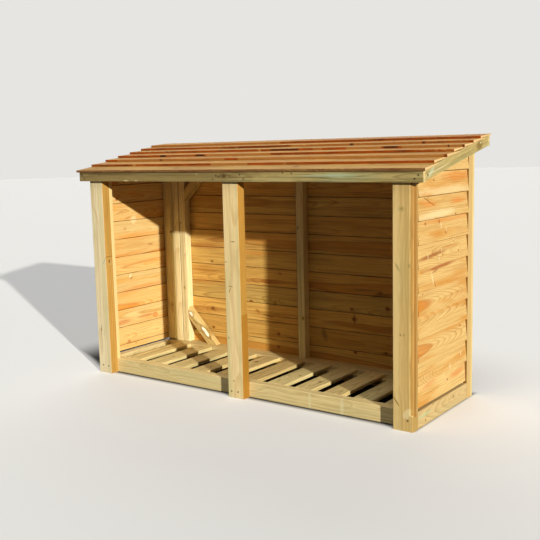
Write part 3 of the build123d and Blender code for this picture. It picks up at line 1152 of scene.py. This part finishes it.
stud_wood = {**post_wood, "pale": paint("f5e3ac"), "ring": paint("bf9d5c")}
joint_shade = paint("4a3416")
joint_width = 0.0025
for number, node in enumerate(("back_stud_left", "back_stud_middle", "back_stud_right")):
    low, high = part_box(node)
    knots = [(0.284, 0.012, 0.007)] if node == "back_stud_middle" else [(0.38, 0.0, 0.005)]
    finish_node(
        node,
        stud_wood,
        {"order": UPRIGHT, "centre": (0.0, (low.x + high.x) / 2, low.y)},
        knots=[*knots, (0.75, -0.01, 0.004)],
        pith=(0.012 - 0.01 * number, 0.02, 0.05 + 0.01 * number),
        ring_width=0.0055,
        patches=[((0.34, 0.0), (0.3, 0.006, 0.6), 0.0, "b9b67a", 0.5)],
        faces=[(past("X", low.x + joint_width, under=True), joint_shade)],
    )
finish_node(
    "back_top_rail",
    stud_wood,
    {"order": LEVEL, "centre": (9.0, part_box("back_top_rail")[0].z, back_y)},
    knots=[(-8.6, 0.03, 0.006)],
)

brace_wood = {**post_wood, "pale": paint("dec27c"), "ring": paint("a57c3c"), "lines": 0.5}
brace_slant = math.radians(45)
for node in ("brace_bottom_left", "brace_bottom_right", "brace_top_left", "brace_top_right"):
    low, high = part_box(node)
    middle = (low + high) / 2
    falls = node in ("brace_bottom_left", "brace_top_right")
    turn = (0.0, -brace_slant if falls else brace_slant, 0.0)
    centre = Matrix.Rotation(turn[1], 3, "Y") @ middle
    patches = []
    if node == "brace_bottom_left":
        patches = [
            ((-0.1, -0.016), (0.028, 0.013, 0.3), 0.0, "a37c3c", 0.7),
            ((-0.1, -0.016), (0.016, 0.0068, 0.15), 0.0, "fff6d8", 1.0),
            ((0.0395, -0.011), (0.054, 0.0135, 0.25), 0.0, "94702f", 0.75),
            ((0.0395, -0.0105), (0.034, 0.0068, 0.15), 0.0, "fff6d8", 1.0),
            ((0.02, -0.025), (0.02, 0.008, 0.5), 0.6, "a5843f", 0.6),
            ((-0.035, -0.018), (0.03, 0.007, 0.5), 0.3, "9a7c3e", 0.6),
        ]
    finish_node(
        node,
        brace_wood,
        {"order": LEVEL, "centre": (centre.x, centre.z, centre.y), "turn": turn},
        knots=[],
        pith=(0.05, -0.01, 0.03),
        ring_width=0.0065,
        patches=patches,
    )


# Slatted floor
# Eleven sawn slats, 97 by 18 mm, with eased arrises, laid front to back on two bearers with a
# gap between them for air. Tan, and rougher than the frame. The bearers hardly show.

slat_wood = {
    "pale": paint("e8cf8c"),
    "ring": paint("9c844a"),
    "heart": paint("d2ab68"),
    "streak": paint("b5a06a"),
    "streaks": 0.6,
    "lines": 0.5,
    "halo": paint("8d6c3c"),
    "knot": paint("4f3a1e"),
}
slat_width = 0.097
slat_arris = 0.004
slats_low, slats_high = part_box("floor_slats")
slat_count = 11
slat_pitch = (slats_high.x - slats_low.x - slat_width) / (slat_count - 1)
slat_finish = timber_finish("slat_wood", slat_wood, sawn=0.9, rough=0.72, ring_show=0.85)


def sawn_bar(size, arris, marks, cuts, wander=0.0006):
    """A sawn bar from its own corner, X along it, with eased arrises and edges that wander."""
    bm = new_boards()
    bmesh.ops.create_cube(bm, size=1.0)
    bmesh.ops.translate(bm, vec=(0.5, 0.5, 0.5), verts=bm.verts)
    bmesh.ops.scale(bm, vec=size, verts=bm.verts)
    ease_bar(bm, size.x, arris, segments=3, cuts=cuts)
    middle = size / 2
    for v in bm.verts:
        inwards = Vector((0, middle.y - v.co.y, middle.z - v.co.z)).normalized()
        uneven = noise.noise(v.co * 22 + Vector((marks["seed"], 0, 0)))
        v.co += inwards * wander * (0.5 + 0.5 * uneven)
    mark_board(bm, marks)
    return bm


rng = random.Random(31)
boards = new_boards()
slat_size = Vector((slats_high.y - slats_low.y, slat_width, slats_high.z - slats_low.z))
for number in range(slat_count):
    corner = Vector((slats_low.x + number * slat_pitch, slats_low.y, slats_low.z))
    marks = chance_marks(rng, slat_size.x, heart_share=0.3, knot_count=2, low_tone=0.86)
    marks["pith"] = (marks["pith"][0], slat_width * rng.uniform(0.2, 0.8), -0.05)
    board = sawn_bar(slat_size, slat_arris, marks, cuts=14)
    lay_board(boards, board, frame_of(corner, (0, 1, 0), (1, 0, 0), (0, 0, 1)))
finish_boards(boards, "floor_slats_sawn", slat_finish, "floor_slats")

for node in ("floor_bearer_front", "floor_bearer_rear"):
    low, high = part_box(node)
    finish_node(
        node,
        slat_wood,
        {"order": LEVEL, "centre": (13.0, low.z, low.y)},
        knots=[(-12.7, 0.02, 0.005)],
        sawn=0.6,
    )


# Roof frame and trim
# Four rafters, 45 mm square, carry the roof boards: one along each verge and a middle pair that is
# notched over the back panel's top rail. A 20 mm fascia is screwed over their front ends and
# another over their rear ends. Planed, with an olive cast from the treatment.

trim_wood = {
    "pale": paint("bfaa6c"),
    "ring": paint("635228"),
    "heart": paint("8d7644"),
    "streak": paint("a6ae82"),
    "streaks": 0.6,
    "lines": 0.75,
    "halo": paint("74602f"),
    "knot": paint("3f3118"),
}
fascia_low, fascia_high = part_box("fascia_front")
fascia_middle_z = (fascia_low.z + fascia_high.z) / 2
cut_skin = 0.0006
cut_end = paint("e8cd8c")
fascia_ends = [
    (past("X", fascia_high.x - cut_skin, cut_skin), cut_end),
    (past("X", fascia_low.x + cut_skin, cut_skin, under=True), cut_end),
]
finish_node(
    "fascia_front",
    trim_wood,
    {"order": LEVEL, "centre": (0.0, fascia_middle_z, fascia_low.y)},
    knots=[
        (-0.011, 0.001, 0.009),
        (-0.955, 0.012, 0.006),
        (-0.82, 0.008, 0.004),
        (0.314, 0.014, 0.003),
        (0.359, 0.012, 0.003),
    ],
    pith=(0.006, -0.01, 0.05),
    ring_width=0.0055,
    patches=[
        ((-0.5, 0.0), (0.66, 0.06, 0.4), 0.0, "816a3e", 0.75),
        ((-0.78, 0.012), (0.22, 0.005, 0.6), 0.0, "5c4a2a", 0.6),
        ((-0.3, -0.012), (0.3, 0.005, 0.6), 0.0, "97854f", 0.7),
        ((-0.011, 0.0), (0.036, 0.0065, 0.3), 0.0, "4c3a20", 0.8),
        ((-0.024, 0.0), (0.006, 0.0028, 0.3), 0.0, "a58f66", 0.9),
        ((0.011, 0.0), (0.006, 0.0028, 0.3), 0.0, "a58f66", 0.9),
        ((-0.63, -0.021), (0.016, 0.003, 0.4), 0.0, "d6c48c", 0.9),
        ((-0.561, -0.021), (0.01, 0.003, 0.4), 0.0, "d6c48c", 0.8),
        ((0.57, 0.003), (0.09, 0.007, 0.7), 0.0, "bac79e", 0.8),
        ((0.45, 0.001), (0.05, 0.004, 0.7), 0.0, "b3bd95", 0.6),
        ((0.25, -0.012), (0.25, 0.004, 0.6), 0.0, "c0ad70", 0.6),
        ((0.75, -0.014), (0.2, 0.005, 0.6), 0.0, "8a7c4c", 0.6),
        ((-0.171, 0.01), (0.006, 0.003, 0.4), 0.0, "b9ac80", 0.8),
    ],
    faces=fascia_ends,
)
finish_node(
    "fascia_rear",
    {**trim_wood, "pale": paint("c7b47c")},
    {"order": LEVEL, "centre": (4.0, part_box("fascia_rear")[0].z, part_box("fascia_rear")[1].y)},
    knots=[(-3.4, 0.02, 0.006), (-4.5, 0.03, 0.008)],
    pith=(0.01, 0.02, -0.05),
    faces=fascia_ends,
)
for side, sign in (("left", -1), ("right", 1)):
    low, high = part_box(f"rafter_{side}")
    face_x = high.x if sign > 0 else low.x
    turn = (-roof_pitch, 0.0, 0.0)
    centre = Vector((face_x, (low.y + high.y) / 2, (low.z + high.z) / 2))
    centre = Matrix.Rotation(turn[0], 3, "X") @ centre
    finish_node(
        f"rafter_{side}",
        {**trim_wood, "pale": paint("c2ab6c"), "ring": paint("8a7640"), "streaks": 0.4},
        {"order": INWARD, "centre": (centre.y, centre.z, centre.x), "turn": turn},
        knots=[(-0.3, -0.004, 0.004)],
        pith=(0.05, -0.005, -0.04 * sign),
        ring_width=0.006,
        patches=[
            ((-0.27, 0.0), (0.03, 0.01, 0.6), 0.4, "c3d0aa", 0.7),
            ((-0.2, -0.004), (0.1, 0.003, 0.6), 0.0, "e4d6a4", 0.6),
            ((0.225, 0.0), (0.034, 0.018, 0.45), 0.0, "80652f", 0.85),
            ((0.24, 0.008), (0.008, 0.004, 0.4), 0.0, "e4d9a8", 0.8),
            ((0.0, -0.012), (0.16, 0.005, 0.6), 0.0, "97854c", 0.6),
        ],
    )
    low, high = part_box(f"rafter_middle_{side}")
    finish_node(
        f"rafter_middle_{side}",
        stud_wood,
        {"order": INWARD, "centre": (sign * 4.2, 1.1, low.x)},
        knots=[(-4.2 * sign - 0.1, 0.0, 0.006)],
    )


# Roof boards
# Seven feather-edged boards laid up the slope, each lapped over the one below and nailed to the
# rafters. Rough sawn: their tops have weathered to tan, and the thick edges that face down the
# roof are rust-orange, with runs of ochre and of nearly black.

eaves_cover = 0.108
roof_cover = 0.0925
# How far each board has slipped up the slope at its left and right end, and how much shorter it
# is there
roof_slips = (
    (0.0, 0.0),
    (0.0, 0.0),
    (0.01, 0.006),
    (0.012, 0.008),
    (0.01, 0.005),
    (0.007, -0.004),
    (0.0, -0.009),
)
roof_trims = (
    (0.0, 0.003),
    (0.0, 0.014),
    (0.0, 0.003),
    (0.0, 0.015),
    (0.001, 0.006),
    (0.002, 0.001),
    (0.002, 0.004),
)
roof_wood = {
    "pale": paint("cfa254"),
    "ring": paint("7b4813"),
    "heart": paint("ae7224"),
    "streak": paint("a66c20"),
    "streaks": 0.75,
    "lines": 0.75,
    "halo": paint("7c4a22"),
    "knot": paint("3c2110"),
}
butt_orange = paint("a34d08")
butt_brown = paint("6d3008")
butt_ochre = paint("b78542")
butt_dark = paint("421a06")
# Where the lower edge of each board is ochre, and where it is nearly black: from and to along X,
# and how strongly
ochre_runs = (
    (),
    ((-0.685, -0.65, 0.9), (-0.171, 0.059, 0.85)),
    ((-0.896, -0.155, 0.7), (-0.088, 0.97, 0.9)),
    ((-0.622, -0.43, 0.35), (-0.358, 0.05, 0.85)),
    ((-0.098, -0.074, 1.0), (0.217, 0.28, 0.6), (0.4, 0.591, 0.85), (0.68, 0.97, 0.75)),
    ((0.032, 0.746, 0.6), (0.756, 0.972, 0.35)),
    ((-0.985, -0.074, 0.75),),
)
dark_runs = (
    (),
    ((-0.99, -0.7, 0.3),),
    ((-0.59, -0.56, 0.6),),
    ((-0.672, -0.622, 0.95), (-0.43, -0.36, 0.9), (0.05, 0.3, 0.25)),
    ((-0.03, 0.15, 0.8), (0.591, 0.674, 0.8), (0.898, 0.91, 0.8)),
    ((-0.41, 0.032, 0.45), (0.371, 0.4, 0.9), (0.742, 0.76, 0.9)),
    ((-0.07, 0.969, 0.2),),
)
eaves_butt = paint("91683a")
eaves_stripe = paint("6b3014")
end_grain = paint("ecc88c")
# How far up a board the colour of its lower edge fades out, from and to
butt_fade = (0.0024, 0.0008)


def make_butt_group():
    """Dark brown blotches drawn out along a sawn lower edge, and a fine mottle."""
    tree, taken, given = new_group(
        "sawn lower edge", {"Grain": "Vector"}, {"Brown": "Float", "Mottle": "Float"}
    )
    blotch = speckle(tree, taken.outputs["Grain"], (11.0, 30.0, 160.0), 5.0)["Fac"]
    feed(tree, given.inputs["Brown"], ease(tree, blotch, 0.44, 0.68))
    fleck = speckle(tree, taken.outputs["Grain"], (70.0, 90.0, 400.0), 3.0)["Fac"]
    feed(tree, given.inputs["Mottle"], ease(tree, fleck, 0.35, 0.65))
    return tree


butt_group = make_butt_group()


def along_runs(tree, x, runs):
    """A mask of the runs along X, each with its own strength."""
    found = 0.0
    for start, end, strength in runs:
        soft = min(0.012, (end - start) / 3)
        rise = ease(tree, x, start, start + soft, 0.0, strength)
        run = reckon(tree, "MULTIPLY", rise, ease(tree, x, end, end - soft))
        found = reckon(tree, "MAXIMUM", run, found)
    return found


def roof_finish(name, ochre, dark, at_eaves):
    """The finish of one roof board, with its lower edge and ends coloured by where they lie."""
    finish = timber_finish(name, roof_wood, sawn=1.2, rough=0.75, ring_show=0.7)
    tree = finish.node_tree
    shader = tree.nodes["Principled BSDF"]
    top_colour = shader.inputs["Base Color"].links[0].from_socket
    grain = grain_from_mesh(tree, "grain")
    edge = ease(tree, parts_of(tree, grain)[1], *butt_fade)
    found = placed(tree, butt_group, grain=grain)
    x = parts_of(tree, tree.nodes.new("ShaderNodeTexCoord").outputs["Object"])[0]
    if at_eaves:
        stripe = reckon(tree, "MULTIPLY", found["Brown"], 0.8)
        lower = tinted(tree, stripe, eaves_butt, eaves_stripe)
    else:
        lower = tinted(tree, found["Brown"], butt_orange, butt_brown)
        pale = reckon(tree, "MULTIPLY", found["Mottle"], 0.3)
        pale = reckon(tree, "SUBTRACT", along_runs(tree, x, ochre), pale)
        lower = tinted(tree, reckon(tree, "MAXIMUM", pale, 0.0), lower, butt_ochre)
        lower = tinted(tree, along_runs(tree, x, dark), lower, butt_dark)
    colour = tinted(tree, edge, top_colour, lower)
    facing_out = parts_of(tree, tree.nodes.new("ShaderNodeNewGeometry").outputs["True Normal"])[0]
    at_end = ease(tree, reckon(tree, "ABSOLUTE", facing_out), 0.5, 0.8)
    colour = tinted(tree, reckon(tree, "MULTIPLY", at_end, 0.85), colour, end_grain)
    feed(tree, shader.inputs["Base Color"], colour)
    return finish


rng = random.Random(47)
roof_length = roof_high.x - roof_low.x
roof_count = 7
up_slope = Vector((0.0, math.cos(roof_pitch), math.sin(roof_pitch)))
eaves_edge = Vector((roof_low.x, eaves_y, eaves_z))
roof_feet = [0.0] + [eaves_cover + roof_cover * n for n in range(roof_count - 1)]
for course, standing in enumerate(stand_off(roof_feet)):
    marks = chance_marks(rng, roof_length, heart_share=0.4, knot_count=4, low_tone=0.92)
    heart, tone, hue = marks["tone"]
    if course:
        marks["tone"] = (heart, tone, 0.1 + hue)
    else:
        marks["tone"] = (0.0, 1.0, -0.05)
    boards = new_boards()
    left_trim, right_trim = roof_trims[course]
    length = roof_length - left_trim - right_trim
    board = feather_board(length, standing, marks, cuts=150, wander=0.0014, fray=0.0012)
    left_slip, right_slip = roof_slips[course]
    along = Vector((length, 0.0, 0.0)) + up_slope * (right_slip - left_slip)
    along.normalize()
    origin = eaves_edge + up_slope * (roof_feet[course] + left_slip)
    origin.x += left_trim
    lay_board(boards, board, frame_of(origin, along, roof_normal.cross(along), roof_normal))
    node = f"roof_board_{course + 1}"
    finish = roof_finish(f"{node}_wood", ochre_runs[course], dark_runs[course], course == 0)
    finish_boards(boards, f"{node}_sawn", finish, node)


# Screws and nails
# Countersunk screws with a cross recess hold the fascia to the rafters' ends and the posts to
# the base rails. The boards are fixed with flat-headed wire nails, two to a side board.

screw_radius = 0.0042
screw_proud = 0.0004
# In shares of the head's radius: how far its rim turns down and how deep its cross is
rim_drop = 0.35
cross_depth = 0.3


def screw_head(bm, place, radius):
    """A countersunk head: a grid drawn to a disc, its cross pushed in and its rim turned down."""
    before = set(bm.verts)
    cells = 7
    bmesh.ops.create_grid(bm, x_segments=cells, y_segments=cells, size=1.0)
    own = [v for v in bm.verts if v not in before]
    top = {f for v in own for f in v.link_faces}
    slack = 0.01
    arm = 1 / cells + slack
    reach = 5 / cells + slack
    cross = []
    for face in top:
        x, y = (abs(c) for c in face.calc_center_median().xy)
        if min(x, y) < arm and max(x, y) < reach:
            cross.append(face)
    rim = [e for e in {e for v in own for e in v.link_edges} if e.is_boundary]
    sides = bmesh.ops.extrude_edge_only(bm, edges=rim)["geom"]
    skirt = [v for v in sides if isinstance(v, bmesh.types.BMVert)]
    bmesh.ops.translate(bm, vec=(0, 0, -rim_drop), verts=skirt)
    sunk = bmesh.ops.extrude_face_region(bm, geom=cross)["geom"]
    bmesh.ops.delete(bm, geom=cross, context="FACES")
    bed = [v for v in sunk if isinstance(v, bmesh.types.BMVert)]
    bmesh.ops.translate(bm, vec=(0, 0, -cross_depth), verts=bed)
    own = [v for v in bm.verts if v not in before]
    for v in own:
        x, y = v.co.x, v.co.y
        v.co.x = x * math.sqrt(1 - y * y / 2)
        v.co.y = y * math.sqrt(1 - x * x / 2)
    bmesh.ops.transform(bm, matrix=place @ Matrix.Scale(radius, 4), verts=own)


def steel_finish(name, bright, dull, rough):
    """Zinc-plated steel, dulled in spots."""
    finish = bpy.data.materials.new(name)
    finish.use_nodes = True
    tree = finish.node_tree
    shader = tree.nodes["Principled BSDF"]
    place = tree.nodes.new("ShaderNodeTexCoord").outputs["Object"]
    spots = speckle(tree, place, (900.0, 900.0, 900.0), 2.0)["Fac"]
    feed(tree, shader.inputs["Base Color"], tinted(tree, spots, paint(bright), paint(dull)))
    feed(tree, shader.inputs["Roughness"], ease(tree, spots, 0.3, 0.7, rough, rough + 0.2))
    shader.inputs["Metallic"].default_value = 0.7
    return finish


def facing(normal, at):
    """A matrix that stands Z along a normal, at a place."""
    return Matrix.Translation(at) @ Vector(normal).to_track_quat("Z", "Y").to_matrix().to_4x4()


nail_radius = 0.0022
nail_height = 0.001
nail_up = 0.036
# How far the nails of a side board stand from its two ends, and how far clear of the roof and of
# the top of the back
front_nail = 0.007
rear_nail = 0.014
roof_room = 0.05
top_room = 0.01


def nail_head(bm, place):
    """A shallow, flat-topped wire nail's head."""
    bmesh.ops.create_cone(
        bm,
        cap_ends=True,
        segments=8,
        radius1=nail_radius,
        radius2=nail_radius * 0.6,
        depth=nail_height,
        matrix=place,
    )


nails = bmesh.new()


def drive_nails(place, standing, steps):
    """Nails through one board at places along it, just above the top of the board below."""
    inner, thickness = wedge(standing, nail_up / board_width)
    for step in steps:
        nail_head(nails, place @ Matrix.Translation((step, nail_up, inner + thickness)))


for side, sign in (("right", 1), ("left", -1)):
    low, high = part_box(f"side_boards_{side}")
    for course, foot, standing, place in side_courses(side, sign):
        covered = (foot + nail_up - eaves_z) / math.tan(roof_pitch) + eaves_y - low.y
        steps = (front_nail, high.y - low.y - rear_nail)
        drive_nails(place, standing, [step for step in steps if step > covered + roof_room])
stud_places = [sign * x for sign in (-1, 1) for x in (0.86, 0.78)] + [0.014]
for course, foot, standing, place in back_courses():
    if foot + nail_up < back_high.z - top_room:
        drive_nails(place, standing, [back_high.x - x for x in stud_places])
rafter_places = (-0.944, -0.0635, 0.0775, 0.944)
for course, standing in enumerate(stand_off(roof_feet)):
    place = frame_of(eaves_edge + up_slope * roof_feet[course], (1, 0, 0), up_slope, roof_normal)
    drive_nails(place, standing, [x - roof_low.x for x in rafter_places])
new_piece(nails, "nail_heads", steel_finish("nail_steel", "7d6040", "3d2a18", 0.6))

heads = bmesh.new()
fascia_screws = [(-0.055, 1.036), (-0.076, 1.018), (0.08, 1.04), (0.101, 1.02)]
fascia_screws += [(s * x, z) for s in (-1, 1) for x, z in ((0.947, 1.036), (0.931, 1.022))]
post_screws = [(-0.018, 0.03), (0.02, 0.031), (0.892, 0.046), (-0.885, 0.04), (-0.846, 0.038)]
for face_y, places in ((fascia_low.y, fascia_screws), (front_y, post_screws)):
    for x, z in places:
        # Each screw has stopped at an angle of its own
        driven = Matrix.Rotation(x * 40, 4, "Z")
        screw_head(heads, facing((0, -1, 0), (x, face_y - screw_proud, z)) @ driven, screw_radius)
# Painted shade: the screw heads are darker than bare steel, partly the steel's own dull colour and
# partly standing in for the shade in the countersunk hole round each head
new_piece(heads, "screw_heads", steel_finish("screw_steel", "4a4236", "221d16", 0.5))


# Floor, lights and camera
# A plain pale floor, with painted shadow under the store and beside its left wall, a lamp low on
# the right of the front, a soft lamp high in front and another low behind to fill, and an even
# sky. The camera is level with the roof.


def seen_mask(tree):
    """Masks what the camera sees, straight or in a gloss or a glass."""
    paths = tree.nodes.new("ShaderNodeLightPath").outputs
    mask = reckon(tree, "MAXIMUM", paths["Is Camera Ray"], paths["Is Glossy Ray"])
    return reckon(tree, "MAXIMUM", mask, paths["Is Transmission Ray"])


floor_radius = 40.0
floor_drop = 0.0002
floor_mesh = bpy.data.meshes.new("studio_floor")
ground = bmesh.new()
bmesh.ops.create_circle(ground, cap_ends=True, segments=96, radius=floor_radius)
bmesh.ops.translate(ground, vec=(0, 0, -floor_drop), verts=ground.verts)
ground.to_mesh(floor_mesh)
ground.free()
floor = bpy.data.objects.new("studio_floor", floor_mesh)
bpy.context.scene.collection.objects.link(floor)
floor_finish = bpy.data.materials.new("studio_floor")
floor_finish.use_nodes = True
floor_tree = floor_finish.node_tree
floor_shader = floor_tree.nodes["Principled BSDF"]
floor_shader.inputs["Roughness"].default_value = 0.9
floor_shader.inputs["Specular IOR Level"].default_value = 0.1
lift = floor_tree.nodes.new("ShaderNodeEmission")
lift.inputs["Color"].default_value = (0.06, 0.06, 0.062, 1.0)
floor_place = floor_tree.nodes.new("ShaderNodeTexCoord").outputs["Object"]
floor_x, floor_y = parts_of(floor_tree, floor_place)[:2]
# Painted shadow: the ground is painted near-black under the store and beside its left wall, where
# it follows the slant of the key lamp's shadow. It fades out from and to these places, those in
# depth from the posts' faces.
wall_line = 0.9
shadow_slant = 0.554
right_fade, left_fade = (wall_line, 0.93), (-1.12, -1.5)
front_fade, rear_fade = (0.05, 0.0), (0.6, 0.68)
beyond = reckon(floor_tree, "MINIMUM", reckon(floor_tree, "ADD", floor_x, wall_line), 0.0)
shadow_y = reckon(floor_tree, "MULTIPLY_ADD", beyond, shadow_slant, floor_y)
to_right = ease(floor_tree, floor_x, *right_fade)
to_left = ease(floor_tree, floor_x, *left_fade)
beside = reckon(floor_tree, "MAXIMUM", to_right, to_left)
before = ease(floor_tree, shadow_y, *(front_y + y for y in front_fade))
behind = ease(floor_tree, shadow_y, *(front_y + y for y in rear_fade))
outside_painted_shadow = reckon(floor_tree, "MAXIMUM", reckon(floor_tree, "MAXIMUM", beside, before), behind)
feed(floor_tree, lift.inputs["Strength"], outside_painted_shadow)
# The floor throws little light back on the store, and its painted shadow makes it dark between
# the slats
in_view = seen_mask(floor_tree)
ground_colour = tinted(floor_tree, in_view, paint("4c4a47"), paint("f0f0ee"))
# Painted shadow: the ground turns near-black where the store's shadow is painted
ground_colour = tinted(floor_tree, outside_painted_shadow, paint("1c1a16"), ground_colour)
feed(floor_tree, floor_shader.inputs["Base Color"], ground_colour)
both = floor_tree.nodes.new("ShaderNodeAddShader")
only_seen = floor_tree.nodes.new("ShaderNodeMixShader")
feed(floor_tree, only_seen.inputs[0], in_view)
feed(floor_tree, both.inputs[0], floor_shader.outputs[0])
feed(floor_tree, both.inputs[1], lift.outputs[0])
feed(floor_tree, only_seen.inputs[1], floor_shader.outputs[0])
feed(floor_tree, only_seen.inputs[2], both.outputs[0])
feed(floor_tree, floor_tree.nodes["Material Output"].inputs[0], only_seen.outputs[0])
floor_mesh.materials.append(floor_finish)

world = bpy.data.worlds.new("studio_sky")
bpy.context.scene.world = world
world.use_nodes = True
sky_tree = world.node_tree
sky = sky_tree.nodes["Background"]
sky.inputs["Color"].default_value = (1.0, 0.985, 0.96, 1.0)
sky.inputs["Strength"].default_value = 0.045
backdrop = sky_tree.nodes.new("ShaderNodeBackground")
backdrop.inputs["Color"].default_value = paint("e6e5e2")
seen = sky_tree.nodes.new("ShaderNodeMixShader")
feed(sky_tree, seen.inputs[0], seen_mask(sky_tree))
feed(sky_tree, seen.inputs[1], sky.outputs[0])
feed(sky_tree, seen.inputs[2], backdrop.outputs[0])
feed(sky_tree, sky_tree.nodes["World Output"].inputs[0], seen.outputs[0])

lamp_aim = Vector((0, 0, 0.6))
lamp_distance = 9.0


def set_lamp(name, turn, rise, spread, power, colour):
    """A far lamp that shines at the store from a turn round it and a rise over the ground."""
    turn, rise = math.radians(turn), math.radians(rise)
    level = math.cos(rise)
    lamp = bpy.data.lights.new(name, "SUN")
    lamp.angle = math.radians(spread)
    lamp.energy = power
    lamp.color = colour
    way = Vector((math.sin(turn) * level, -math.cos(turn) * level, math.sin(rise)))
    lamp_object = bpy.data.objects.new(name, lamp)
    bpy.context.scene.collection.objects.link(lamp_object)
    lamp_object.matrix_world = facing(way, lamp_aim + way * lamp_distance)


set_lamp("key_lamp", turn=61, rise=15, spread=1.0, power=4.3, colour=(1.0, 0.965, 0.9))
set_lamp("front_fill", turn=12, rise=68, spread=30, power=1.05, colour=(1.0, 0.99, 0.97))
set_lamp("rear_fill", turn=215, rise=18, spread=60, power=1.4, colour=(0.98, 0.99, 1.0))

camera = bpy.data.cameras.new("camera")
camera.lens = 55.25
camera.sensor_width = 36.0
camera_object = bpy.data.objects.new("camera", camera)
bpy.context.scene.collection.objects.link(camera_object)
bpy.context.scene.camera = camera_object
yaw, pitch, roll = (math.radians(angle) for angle in (36.119, 8.238, 1.373))
ahead = Vector(
    (-math.sin(yaw) * math.cos(pitch), math.cos(yaw) * math.cos(pitch), -math.sin(pitch))
)
right = Vector((math.cos(yaw), math.sin(yaw), 0.0))
down = ahead.cross(right)
rolled_right = right * math.cos(roll) + down * math.sin(roll)
rolled_down = down * math.cos(roll) - right * math.sin(roll)
axes = Matrix((rolled_right, -rolled_down, -ahead)).transposed()
camera_place = (2.35784, front_y - 2.92854, 1.14425)
camera_object.matrix_world = Matrix.Translation(camera_place) @ axes.to_4x4()

bpy.context.scene.view_settings.view_transform = "Standard"
